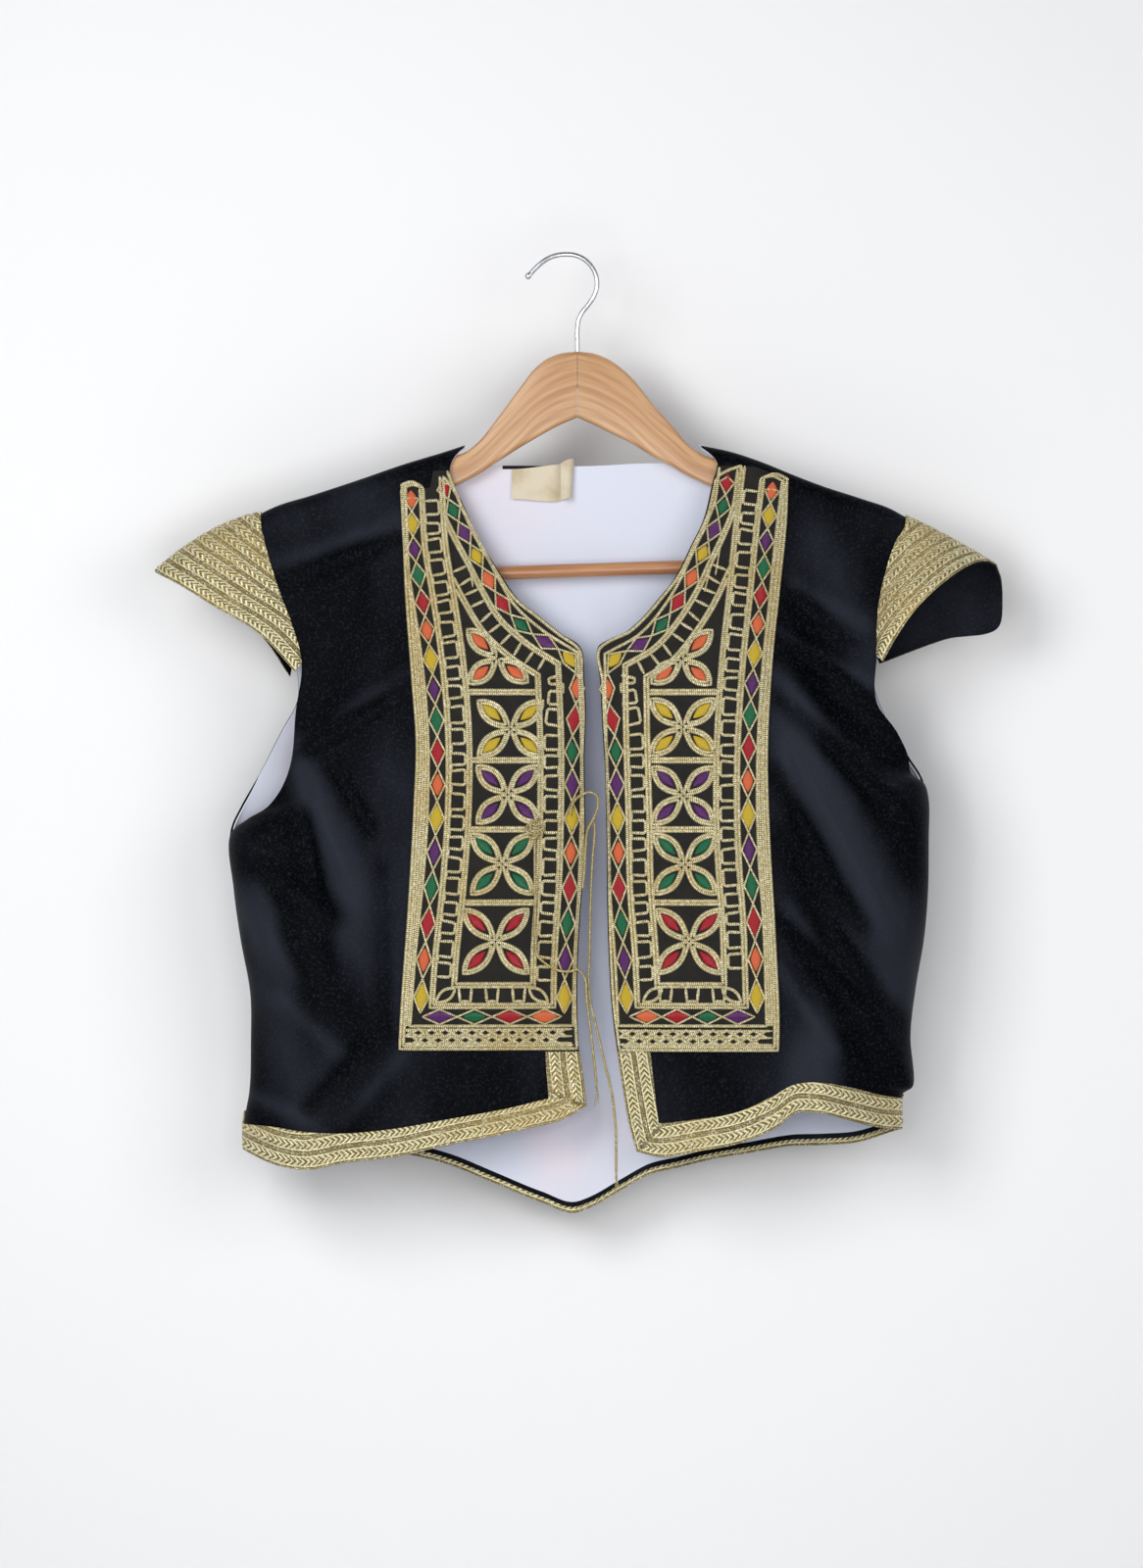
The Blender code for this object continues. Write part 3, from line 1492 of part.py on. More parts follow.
def make_label():
    """Open strip through the folded path, given its thickness by a modifier."""
    points = []
    for z in (LABEL_BOTTOM, LABEL_TOP):
        points += [(place.x * MM, place.y * MM, z * MM) for place in LABEL_PATH]
    count = len(LABEL_PATH)
    faces = [(i, count + i, count + i + 1, i + 1) for i in range(count - 1)]
    mesh = bpy.data.meshes.new("neck_label")
    mesh.from_pydata(points, [], faces)
    mesh.update()
    label = bpy.data.objects.new("neck_label", mesh)
    link_to_vest(label, CREAM_LABEL)
    thickness = label.modifiers.new("Thickness", "SOLIDIFY")
    thickness.thickness = LABEL_THICK * MM
    thickness.offset = 1.0
    thickness.use_even_offset = True


def make_ties():
    for name, rows in (("tie_tail", TIE_TAIL), ("tie_loop", TIE_LOOP), ("tie_strand", TIE_STRAND)):
        route = []
        for row in rows:
            depth = float(front_depth(LEFT, np.float64(row.x), np.float64(row.z)))
            route.append((row.x, -(SEAM_HALF_GAP + depth + row.lift), row.z))
        path = smooth_route(route, CORD_STEP)
        add_tube(name, path, CORD_DIAMETER, CORD_RESOLUTION, GOLD_CORD)


def add_collection(name):
    group = bpy.data.collections.new(name)
    bpy.context.scene.collection.children.link(group)
    return group


clear_scene()
vest = add_collection("Embroidered_vest")
cutters = add_collection("Cutters")
left_grid = make_front(LEFT)
right_grid = make_front(RIGHT)
body_back = make_back()
make_sleeve(LEFT, left_grid, body_back[:, 0], LEFT_SLEEVE_FRONT, LEFT_SLEEVE_BACK,
            LEFT_NOTCH_ROW, LEFT_SLEEVE_CROWN)
make_sleeve(RIGHT, right_grid, body_back[:, -1], RIGHT_SLEEVE_FRONT, RIGHT_SLEEVE_BACK,
            RIGHT_NOTCH_ROW, RIGHT_SLEEVE_CROWN)
make_embroidery(LEFT, LEFT_PANEL_TOP, LEFT_PANEL_OUTER, LEFT_CHAIN_OUTER, LEFT_CHAIN_INNER,
                LEFT_CHAIN_NECK, LEFT_FRAME)
make_embroidery(RIGHT, RIGHT_PANEL_TOP, RIGHT_PANEL_OUTER, RIGHT_CHAIN_OUTER, RIGHT_CHAIN_INNER,
                RIGHT_CHAIN_NECK, RIGHT_FRAME)
make_hanger()
make_label()
make_ties()
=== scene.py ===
"""Looks, light and camera of the embroidered folk vest on its wooden hanger.

Sizes are millimetres until a mesh is made. X runs to the right as seen from the
front, the front faces -Y and Z is up. The origin is where the hook rests on its peg.
"""

import math
from collections import namedtuple

import bpy
import numpy as np
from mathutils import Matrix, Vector
from mathutils.geometry import delaunay_2d_cdt


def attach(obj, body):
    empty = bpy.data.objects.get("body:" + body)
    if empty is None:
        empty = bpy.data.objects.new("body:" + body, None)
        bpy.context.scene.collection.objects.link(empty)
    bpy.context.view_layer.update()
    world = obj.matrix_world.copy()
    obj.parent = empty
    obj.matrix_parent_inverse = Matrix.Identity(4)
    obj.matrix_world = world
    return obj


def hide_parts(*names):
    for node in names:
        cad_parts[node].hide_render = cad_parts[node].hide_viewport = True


MM = 0.001

# Cloth walls, measured outward from the velvet face
VELVET = 1.2
LINING_FACE = -1.5
LINING_BACK = -2.3
BRAID_BACK = 0.3
BRAID_FACE = 1.4
PANEL_BACK = 0.7
SEAM_HALF_GAP = 0.15

# Body form
SHOULDER_DEPTH = 9.4
SHOULDER_ROLL = 10.0
SIDE_ROLL = 50.0
CHEST_DEPTH = 36.0
HEM_DEPTH = 29.0
BACK_DEPTH = 18.0
FRONT_EDGE_DIP = 12.0
MIDDLE_X = 12.0
STANDS_OPEN = 12.0
CHEST_BELOW = 190.0
WAIST_LEVEL = -400.0
WAIST_RUN = 220.0
GAP_X = 17.0
DIP_WIDE = 110.0
DIP_LEVEL = -190.0
DIP_RUN = 150.0
FOLD_EASE = 32.0
CREASE_START = 2.0
CREASE_EASE = 12.0
BACK_STAND = 10.5
BACK_STAND_RUN = 45.0
BACK_STANDS_OPEN = 10.0
BACK_BELOW = 150.0

Section = namedtuple("Section", "inner_x inner_z outer_x outer_z")
Hem = namedtuple("Hem", "x bottom braid_top")
Armhole = namedtuple("Armhole", "z depth")
Fold = namedtuple("Fold", "x1 z1 x2 z2 height width")
SleeveHem = namedtuple("SleeveHem", "x z y")
Point = namedtuple("Point", "x z")
Side = namedtuple(
    "Side",
    "name sign panel_edge columns sections ridge hem armhole armhole_low folds creases",
)


def table(kind, *rows):
    return tuple(kind(*row) for row in rows)


# Left front, one row for each section from above the braid to the shoulder seam
LEFT_SECTIONS = table(
    Section,
    (9.6, -554, -221, -582), (8.2, -522, -220, -548), (8.6, -490, -220.5, -514),
    (10.5, -456, -227, -478), (13.5, -420, -232, -442), (13.7, -384, -234.3, -404),
    (13.2, -350, -222, -393), (14.2, -318, -206.9, -383.6), (13, -294, -196, -368),
    (11.3, -275, -190.4, -350), (-3, -264, -187.7, -318), (-18, -252, -183.6, -285),
    (-33, -240, -190.4, -257.6), (-48, -218, -198.7, -235.6), (-61, -196, -206, -213),
    (-72, -172, -210.5, -196), (-81, -150, -211.8, -188), (-79, -141, -212, -183.5),
    (-75, -135, -212, -180.3), (-71, -132, -212, -179),
)
LEFT_NOTCH_ROW = 11

RIGHT_SECTIONS = table(
    Section,
    (36, -555, 243.2, -578), (32, -524, 241, -545), (30, -490, 244.5, -512), (28.9, -456, 250.4, -477),
    (28.5, -420, 253.3, -443), (28, -386, 253.8, -405), (27, -354, 253.8, -380),
    (25.3, -326, 250.4, -367.8), (24, -298, 241, -361), (22.6, -273, 237, -345),
    (30, -268, 230, -331.5), (43, -262, 217, -313.7), (52, -254, 215, -302), (65, -239, 216.5, -279.5),
    (76, -225, 217.5, -250), (87, -203, 222, -224.7), (97, -181, 229.5, -201), (103, -155, 235.3, -191),
    (106, -143.5, 236.5, -186), (101, -136.5, 236.7, -182.8), (95, -132, 236.7, -181.5),
)
RIGHT_NOTCH_ROW = 13

# Hem of each front, from the front edge to the side
LEFT_HEM = table(
    Hem,
    (14.4, -592.5, -574), (0.7, -600.7, -583), (-24.7, -607.6, -590.5), (-84.3, -620, -602),
    (-118.5, -627.5, -608), (-152.8, -631.6, -611), (-183, -636.4, -609.5), (-200, -633.6, -607),
    (-224.7, -623.4, -605.6),
)
RIGHT_HEM = table(
    Hem,
    (49.3, -624, -604), (63, -627.5, -604.5), (94.5, -623.4, -601.5), (126, -616.5, -595),
    (146.6, -607, -585), (160.3, -597.3, -577.5), (173.3, -596.6, -575.4), (196.6, -602, -578.8),
    (220, -608, -585), (234.3, -609.7, -587.7),
)
BACK_HEM = table(
    Point,
    (-224.7, -622), (-190, -624), (-150, -624.5), (-116.5, -627.5), (-84.3, -635), (-50, -648.7),
    (-16.4, -662.4), (7, -669.5), (15.8, -666.5), (39, -653.5), (58, -643), (79, -637.7), (102, -632),
    (126, -628), (158, -622.7), (181, -622), (204, -620), (234.3, -609.7),
)
BRAID_BELOW_VELVET = 4.5
BRAID_BELOW_LINING = 8.0
BACK_BRAID_HEIGHT = 25.0
FRONT_HEM_SHARES = (0.0, 0.16, 1.0)
BACK_HEM_LEVELS = (0.0, BRAID_BELOW_VELVET, BRAID_BELOW_LINING, BACK_BRAID_HEIGHT)
HEM_LEAN = 0.4
HEM_SAGS = (0.5, 0.2)
RIDGE_ROWS = 5

# Top line of each shoulder, from the neck out
LEFT_RIDGE = table(
    Point,
    (-71, -132), (-85.6, -136.7), (-111.7, -144.6), (-146.6, -156.6), (-176.7, -166.5),
    (-205.5, -175.8), (-212, -179),
)
RIGHT_RIDGE = table(
    Point,
    (95, -132), (116.5, -136.6), (138.4, -144), (156.9, -151.6), (178.8, -160), (208, -169.5),
    (228, -176.6), (236.7, -181.5),
)
BACK_NECK = table(
    Point,
    (-211.8, -188), (-80, -147.5), (-58, -146), (12, -146), (78, -144.5), (104, -148), (236.3, -190.3),
)

# How far the front armhole edge stands off the side plane
LEFT_ARMHOLE = table(
    Armhole,
    (-179, 9.4), (-213, 12), (-257, 17), (-285, 20), (-318, 22), (-350, 22), (-368, 20), (-383, 14),
    (-393, 8), (-404, 0),
)
RIGHT_ARMHOLE = table(
    Armhole,
    (-181, 9.4), (-213, 13), (-250, 18), (-280, 21), (-314, 22), (-345, 18), (-361, 9), (-368, 0),
)

# Back armhole and side line of each side, top to bottom
BACK_LEFT_EDGE = table(
    Point,
    (-212, -179), (-210, -210), (-203, -236), (-196, -258), (-189, -289), (-187.7, -314),
    (-199.3, -334), (-217, -366), (-234.3, -402), (-232, -442), (-227, -478), (-220.5, -514),
    (-220, -548), (-221, -582), (-224.7, -597), (-224.7, -622),
)
BACK_RIGHT_EDGE = table(
    Point,
    (236.7, -181.5), (229.5, -201), (222, -225), (218, -250), (216, -280), (216, -303), (228, -331),
    (250.4, -367.8), (253.8, -405), (253.3, -443), (250.4, -477), (244.5, -512), (241, -545),
    (243.2, -578), (234.3, -584.7), (234.3, -609.7),
)
BackRow = namedtuple("BackRow", "left_z right_z")
BACK_ROWS = table(
    BackRow,
    (-575, -565), (-545, -535), (-512, -505), (-478, -472), (-442, -437), (-402, -400), (-384, -367.8),
    (-362, -350), (-334, -330), (-314, -303), (-289, -280), (-258, -250), (-232, -224), (-208, -203),
    (-196, -194), (-188, -190.3),
)
BACK_NOTCH_ROW = 10
SHOULDER_ROWS = 3
BackColumn = namedtuple("BackColumn", "hem_x top_x")
BACK_COLUMNS = table(
    BackColumn,
    (-134, -121), (-92, -80), (-42, -36), (7, 12), (52, 58), (98, 104), (142, 146),
)

# Largest folds, as soft ridges (plus) and troughs (minus) along a line
LEFT_FOLDS = table(
    Fold,
    (-190, -335, -150, -440, 5.0, 17), (-205, -400, -160, -520, -5.0, 19),
    (-215, -440, -190, -590, 5.0, 17), (-150, -230, -185, -330, -4.0, 18),
    (-155, -480, -172, -610, 3.5, 16),
)
RIGHT_FOLDS = table(
    Fold,
    (165, -260, 240, -420, -4.5, 18), (160, -330, 235, -500, 5.0, 18), (165, -420, 225, -590, -5.0, 18),
    (172, -560, 172, -600, 7.0, 20), (180, -200, 215, -290, 3.5, 17),
)
BACK_FOLDS = table(
    Fold,
    (-150, -210, -175, -420, 5.0, 22), (-110, -420, -150, -600, -4.0, 24),
    (-40, -330, -60, -600, 3.5, 26), (60, -300, 80, -590, -3.5, 26), (150, -400, 175, -600, 4.0, 24),
    (170, -220, 190, -400, -4.0, 22),
)

# Smaller creases of the cloth, as soft ridges and troughs along a line
LEFT_CREASES = table(
    Fold,
    (-198, -214, -117, -186, 2.7, 7.7), (-194, -227, -120, -197, -3.0, 6.9),
    (-185, -355, -155, -422, 4.2, 7.7), (-160, -358, -138, -396, -3.5, 6.0),
    (-178, -392, -172, -439, -3.5, 5.2), (-186, -336, -113, -293, 2.4, 6.9),
    (-184, -348, -125, -313, -2.6, 6.0), (-225, -425, -165, -457, -3.8, 10.3),
    (-222, -460, -190, -500, 2.6, 8.6), (-215, -586, -185, -600, 3.2, 6.0),
    (-177, -592, -143, -556, -3.2, 6.9), (-150, -600, -116, -560, 2.9, 6.9),
    (-128, -430, -124, -540, -2.2, 6.9), (-196, -520, -150, -560, 2.2, 7.7),
)
RIGHT_CREASES = table(
    Fold,
    (150, -262, 212, -297, 3.2, 5.2), (150, -274, 208, -309, -3.2, 5.2),
    (162, -229, 205, -255, 2.6, 6.9), (160, -243, 200, -268, -2.1, 6.0),
    (145, -293, 226, -366, 3.4, 6.9), (150, -312, 218, -380, -3.2, 6.9),
    (184, -306, 239, -349, -2.7, 6.0), (145, -362, 205, -465, -3.8, 6.9),
    (157, -350, 217, -452, 3.0, 6.9), (145, -404, 184, -448, -2.6, 5.2),
    (149, -464, 197, -520, -3.5, 6.0), (157, -457, 205, -512, 2.9, 6.0),
    (149, -499, 184, -550, 3.0, 6.0), (205, -550, 239, -585, -3.0, 6.0),
    (222, -533, 241, -572, 2.6, 6.0), (196, -470, 236, -520, 2.2, 7.7),
)
BACK_CREASES = table(
    Fold,
    (-185, -235, -120, -205, 2.6, 8.6), (-190, -350, -140, -430, 3.5, 8.6),
    (-170, -345, -120, -420, -2.9, 7.7), (-60, -230, -95, -420, -2.2, 12.0),
    (-205, -460, -150, -520, -2.9, 8.6), (30, -260, 55, -480, 2.2, 12.0),
    (120, -330, 215, -390, -2.9, 7.7), (125, -300, 205, -355, 2.9, 7.7),
    (90, -470, 150, -560, 2.9, 8.6), (180, -440, 225, -530, -2.9, 7.7),
    (-30, -500, 10, -620, 2.2, 10.3),
)

LEFT = Side(
    "left", -1, -116.0, (0.0, 0.13, 0.32, 0.52, 0.71, 0.86),
    LEFT_SECTIONS, LEFT_RIDGE, LEFT_HEM, LEFT_ARMHOLE, -402.0, LEFT_FOLDS, LEFT_CREASES,
)
RIGHT = Side(
    "right", 1, 149.0, (0.0, 0.15, 0.34, 0.54, 0.745, 0.88),
    RIGHT_SECTIONS, RIGHT_RIDGE, RIGHT_HEM, RIGHT_ARMHOLE, -367.8, RIGHT_FOLDS, RIGHT_CREASES,
)

# Sleeve hems, front notch to tip and tip to back notch
LEFT_SLEEVE_FRONT = table(
    SleeveHem,
    (-187.5, -290, -20), (-212, -264, -17), (-244.5, -244.5, -14), (-270, -229, -10),
    (-282, -222.5, -5), (-286.3, -220, 0),
)
LEFT_SLEEVE_BACK = table(
    SleeveHem,
    (-286.3, -220, 0), (-282, -222.5, 5), (-270, -229, 9), (-245, -242, 11), (-213, -264, 12),
    (-192.5, -293, 12),
)
RIGHT_SLEEVE_FRONT = table(
    SleeveHem,
    (220, -283, -21), (230, -265, -26), (245.2, -244.5, -31), (263, -228, -32), (281.5, -216, -25),
    (294, -213.5, -13), (300, -215.8, -3),
)
RIGHT_SLEEVE_BACK = table(
    SleeveHem,
    (300, -215.8, -3), (304, -225, 6), (305.5, -240, 12), (304, -257, 16), (266, -267, 15),
    (219.5, -284, 13),
)
LEFT_SLEEVE_CROWN = 6.5
RIGHT_SLEEVE_CROWN = 1.5
SLEEVE_RINGS = 44
LEFT_SLEEVE_RISE = 2

# Embroidered panels: outline down the outer edge, then the diamond chain
LEFT_PANEL_TOP = table(
    Point,
    (-81.6, -149.5), (-92.5, -150.5), (-94.5, -162), (-103, -163), (-104, -159.5), (-115.2, -160.5),
)
LEFT_PANEL_OUTER = table(
    Point,
    (-113.5, -198.7), (-112, -231), (-107, -296.6), (-104, -340), (-105.5, -383.6), (-109.6, -455),
    (-115, -529), (-116.3, -553.5),
)
RIGHT_PANEL_TOP = table(
    Point,
    (105.6, -146.5), (131, -147.5), (155.3, -157),
)
RIGHT_PANEL_OUTER = table(
    Point,
    (154.8, -177), (149.3, -232), (144, -280), (140.4, -350), (141.8, -403), (146, -476), (148.6, -539),
    (148.3, -554.5),
)
LEFT_CHAIN_OUTER = table(
    Point,
    (-107.6, -169), (-105.5, -203), (-99.5, -240), (-93.2, -283), (-89, -334), (-89.3, -389),
    (-92.8, -439), (-98, -489), (-101, -530),
)
LEFT_CHAIN_INNER = table(
    Point,
    (-1.4, -530), (-0.5, -489), (2.5, -441), (4, -393), (4.2, -341), (2, -281),
)
LEFT_CHAIN_NECK = table(
    Point,
    (-24, -264), (-39.7, -249.5), (-51.8, -230), (-61.5, -211), (-71.5, -192), (-80, -174),
    (-86.2, -158.5),
)
RIGHT_CHAIN_OUTER = table(
    Point,
    (143.9, -163), (139.7, -198), (135.6, -238), (130.8, -281.5), (126.7, -348), (127.4, -416.5),
    (130.8, -464.4), (132.9, -530),
)
RIGHT_CHAIN_INNER = table(
    Point,
    (43, -530), (41, -489), (37.5, -441), (36.5, -393), (35, -341), (34, -282),
)
RIGHT_CHAIN_NECK = table(
    Point,
    (57, -268.5), (73, -250), (84.5, -231.5), (94.5, -210), (104, -190), (110.5, -172), (112.8, -154.5),
)
# Pattern of the embroidered panels
Flower = namedtuple("Flower", "x z reach_x reach_z petals")
FOUR_PETALS = ((1, 1), (-1, 1), (-1, -1), (1, -1))
LEFT_FLOWERS = (
    Flower(-47.3, -281.5, 21.0, 17.5, ((-1, 1.15), (-0.95, -1), (1, -0.95))),
    Flower(-38.4, -330.2, 22.5, 19.5, FOUR_PETALS),
    Flower(-40.4, -375.8, 21.3, 20.0, FOUR_PETALS),
    Flower(-44.0, -424.0, 21.5, 21.0, FOUR_PETALS),
    Flower(-48.6, -477.6, 22.5, 22.5, FOUR_PETALS),
)
RIGHT_FLOWERS = (
    Flower(80.8, -282.2, 21.0, 17.5, ((1, 1.15), (0.95, -1), (-1, -0.95))),
    Flower(81.5, -329.0, 22.5, 19.5, FOUR_PETALS),
    Flower(81.8, -376.5, 21.3, 20.0, FOUR_PETALS),
    Flower(83.0, -424.0, 21.5, 21.0, FOUR_PETALS),
    Flower(86.0, -477.6, 22.5, 22.5, FOUR_PETALS),
)
BAR_LEVELS = (-304.8, -352.0, -400.0, -450.7)
BAR_HALF = 1.15
SATINS = ("orange", "yellow", "purple", "green", "red")
SATIN_COLOURS = {
    "orange": (0.86, 0.16, 0.05),
    "yellow": (0.72, 0.50, 0.02),
    "purple": (0.105, 0.012, 0.145),
    "green": (0.0, 0.15, 0.055),
    "red": (0.46, 0.004, 0.016),
}
STAGE_GREY = (0.86, 0.86, 0.865)
PANEL_TOP = 1.3
CORD_LIFT = 2.0
CORD_WIDE = 1.15
CORD_HIGH = 0.8
THIN_WIDE = 0.75
THIN_HIGH = 0.65
MEANDER_WIDE = 1.1
CORD_STEP = 2.4
CORD_SIDES = 6
CHAIN_HALF = 5.2
RAIL_OUTER = 6.4
RAIL_INNER = (6.4, 8.7)
FRAME_LINES = (20.8, 23.1)
BORDER_INSETS = (1.2, 3.5)
NECK_LADDER = 84.0
APEX_LEVEL = -222.0
TOP_REACH = (6.5, 6.0)
FRAME_REACH = 7.0
PAD_POINTS = 16
PAD_RINGS = ((1.0, 0.0), (0.9, 0.55), (0.62, 0.9), (0.25, 1.0))
PAD_HEIGHT = 1.1
PAD_LONG = 9.5
PAD_HALF = 4.1
PETAL_WIDE = 6.6
PETAL_PAD = 3.5

# Record for the cut of a cloth, in metres and square metres: piece, width, length, area, rests_on and
# trimmings
Cut = namedtuple("Cut", "piece width length area rests_on trimmings")

# Wooden hanger: top and bottom line at stations from the joint outward
Station = namedtuple("Station", "x top bottom")
LEFT_ARM = table(
    Station,
    (8.05, -66.4, -112.3), (-4, -67.8, -117.5), (-14, -72.0, -122.8), (-22, -78.6, -127.4),
    (-31.5, -91, -133), (-50, -115.8, -145), (-60, -128.4, -151.6), (-70, -136.6, -157.0),
    (-85.6, -141.0, -164), (-111.7, -148.6, -174), (-146.6, -160.6, -188), (-170, -168.2, -204),
    (-180, -171.6, -219), (-190, -175.2, -232), (-200, -181.0, -238), (-206, -191, -228),
)
RIGHT_ARM = table(
    Station,
    (8.35, -66.4, -112.3), (20, -67.8, -117.5), (32, -73, -123.5), (44.5, -83, -129.5),
    (61.7, -104, -140), (74.7, -118.5, -147), (86, -131.6, -153.5), (94, -137.6, -157.2),
    (116.5, -143.4, -167), (138.4, -149.5, -177), (170, -160.6, -190), (196, -169.6, -202),
    (213, -175.8, -221), (227, -183.5, -224), (232.5, -194, -216),
)
ARM_THICK = 11.5
ARM_ROUND = 3.2
BAR_DIAMETER = 9.6
BAR_LEFT = (-196.0, -225.9)
BAR_RIGHT = (219.0, -212.5)
HOOK_DIAMETER = 3.6
HOOK_PATH = table(
    Point,
    (8.2, -92), (8.2, -62), (8.2, -50), (8.9, -44.5), (11.4, -39), (15.6, -33.8), (19.4, -28.2),
    (21.7, -21.5), (21.3, -13.6), (17.8, -6.4), (12.2, -1.2), (6, 1.3), (0, 1.8), (-7, 0.9),
    (-13.5, -1.8), (-19.4, -6.4), (-24.6, -11.8),
)

# Tie cord: x, z and how far its centre stands in front of the velvet face
CORD_DIAMETER = 1.8
Cord = namedtuple("Cord", "x z lift")
TIE_TAIL = table(
    Cord,
    (-21.2, -401.5, 4.0), (-21.4, -420, 3.9), (-21.0, -450, 3.9), (-20.8, -476, 3.9),
    (-19.2, -488, 3.9), (-14.2, -493, 3.9), (-6.5, -497.5, 3.9), (2, -498.8, 3.9), (8.5, -497.5, 4.2),
    (13, -503, 3.0), (14.5, -517, 1.2), (18, -545, 0.0), (21.5, -577, -1.0),
)
TIE_LOOP = table(
    Cord,
    (12.0, -441, 4.4), (13.2, -426, 5.2), (14.0, -412, 5.6), (15.5, -400, 5.8), (19.5, -392, 6.2),
    (22.6, -382, 6.0), (21.2, -376.2, 5.6), (17.5, -374.4, 5.4), (12.5, -375.2, 4.9),
    (7.4, -378.8, 4.4), (4.2, -383.6, 4.1), (3.0, -390, 4.0),
)
TIE_STRAND = table(
    Cord,
    (19.6, -395.2, 5.0), (20.3, -401, 2.8), (19.6, -409, 1.6), (18.8, -420, 1.0), (17.6, -445, 0.6),
    (16.8, -480, 0.2), (17.2, -520, 0.0), (21.0, -536, 0.4), (26.5, -560, 1.0), (32, -583, 1.6),
    (34.6, -605, 2.0), (35.2, -639, 2.0),
)

LABEL_TOP = -144.5
LABEL_BOTTOM = -170.0
LABEL_THICK = 0.7
LABEL_PATH = table(
    Point,
    (-37.5, 6.0), (-10, 6.0), (2.2, 5.9), (4.2, 4.4), (3.0, 2.4), (-3.5, 1.2),
)

# Knot and frayed ends, steps of the cloth's grids, and the ends of arm and hook
KNOT_PLACE = Point(-21.2, -400.5)
KNOT_REACH = 6.2
KNOT_CORD = 0.85
TIE_UP = (0.02, 1, 0.03)
FRAY_THREADS = 7
FRAY_RADIUS = 0.22
STRIP_COLUMNS = 14
FRONT_COLUMNS = 64
ROLL_COLUMNS = 22
BACK_SPLIT = 16
ROW_STEP = 3.2
SHARP_ANGLE = 50.0
BRAID_ROW = 11.5
STRIP_TOP = -554.6
STRIP_UNDER = 6.0
STRIP_SQUEEZE = 0.02
ARM_RINGS = 70
ARM_TIP = ((0.9, 0.93), (1.6, 0.8), (2.0, 0.55))
# fold height that gives the full painted fold light and shade on the velvet
PAINTED_FOLD_SCALE = 4.0
SEAM_EASE = 10.0
SEAM_SPREAD = 60.0
POINT_COLUMNS = 4
POINT_LENGTH = 14.0
NECK_LINE = (-46.0, -6.0)
HOOK_BALL = ((0.8, 2.0), (1.0, 2.3), (1.3, 2.2), (0.9, 1.7), (0.5, 0.8))
LEFT_NECK = ROLL_COLUMNS - 1 + BACK_SPLIT * 2
RIGHT_NECK = LEFT_NECK + BACK_SPLIT * 4

# Lozenges of the chain down the outer edge, along the bottom and up the front edge
Chain = namedtuple("Chain", "count start end growth first_colour margin")
CHAINS = (
    Chain(17, 1.0, 13.5, 1.5, 0, 11.0),
    Chain(4, 13.5, 13.5, 1.0, 2, 12.0),
    Chain(19, 13.0, 4.0, 0.66, 1, 11.0),
)

# Camera with its lens in millimetres, then places in metres and lights in watts
LENS = 150.0
SENSOR = 36.0
VIEW_HEIGHT = 1.096
VIEW_CENTRE = (0.0041, -0.3685)
FLOOR_LEVEL = -1.35
BACKDROP_Y = 0.075
LIGHTS = (
    ("key", (-0.8, -1.55, 0.2), (0, 0, -0.4), 0.8, 17.5),
    ("fill", (0.95, -1.5, -0.1), (0, 0, -0.4), 1.0, 9.5),
    ("front", (-0.1, -1.25, -0.45), (0, 0, -0.45), 0.5, 4.2),
)
WORLD_COLOUR = (0.9, 0.93, 1.0, 1)
WORLD_STRENGTH = 0.22


def column(rows, *names):
    picked = np.array([[getattr(row, name) for name in names] for row in rows], float)
    return picked[np.argsort(picked[:, 0])].T


def smooth_between(values, places, wanted):
    """Smooth curve through values that stand at places, read where wanted."""
    values = np.asarray(values, float)
    places = np.asarray(places, float)
    wanted = np.clip(np.asarray(wanted, float), places[0], places[-1])
    steps = np.diff(places)
    shape = (-1,) + (1,) * (values.ndim - 1)
    slopes = np.diff(values, axis=0) / steps.reshape(shape)
    weight = (steps[1:] / (steps[1:] + steps[:-1])).reshape(shape)
    middle = slopes[:-1] * weight + slopes[1:] * (1 - weight)
    tangents = np.concatenate([slopes[:1], middle, slopes[-1:]])
    index = np.clip(np.searchsorted(places, wanted, side="right") - 1, 0, len(steps) - 1)
    share = ((wanted - places[index]) / steps[index]).reshape(shape)
    step = steps[index].reshape(shape)
    start, end = values[index], values[index + 1]
    curve = start + (end - start) * share * share * (3 - 2 * share)
    curve = curve + tangents[index] * step * share * (1 - share) ** 2
    return curve - tangents[index + 1] * step * share * share * (1 - share)


def value_at(rows, key, name, where):
    keys, values = column(rows, key, name)
    where = np.asarray(where, float)
    return smooth_between(values, keys, where.ravel()).reshape(where.shape)


def smooth(value):
    value = np.clip(value, 0.0, 1.0)
    return value * value * (3.0 - 2.0 * value)


def quarter_round(distance, reach):
    left = 1.0 - np.clip(distance / reach, 0.0, 1.0)
    return np.sqrt(1.0 - left * left)


def fold_height(folds, x, z):
    total = np.zeros_like(x)
    for fold in folds:
        run = np.array([fold.x2 - fold.x1, fold.z2 - fold.z1])
        length = np.linalg.norm(run)
        along = ((x - fold.x1) * run[0] + (z - fold.z1) * run[1]) / length
        beside = ((x - fold.x1) * run[1] - (z - fold.z1) * run[0]) / length
        past = np.maximum(0.0, np.maximum(-along, along - length))
        reach = np.hypot(beside, past * 0.6)
        total = total + fold.height * np.exp(-((reach / fold.width) ** 2))
    return total


def ridge_height(x):
    left = value_at(LEFT_RIDGE, "x", "z", x)
    right = value_at(RIGHT_RIDGE, "x", "z", x)
    return np.where(x < MIDDLE_X, left, right)


def side_roll(edge, open_share):
    """Turn of the cloth at its side edge, round where it is closed and softer where it is open."""
    closed_roll = quarter_round(edge, SIDE_ROLL)
    open_roll = np.sin(np.clip(edge / SIDE_ROLL, 0, 1) * math.pi / 2)
    return closed_roll * (1 - open_share) + open_roll * open_share


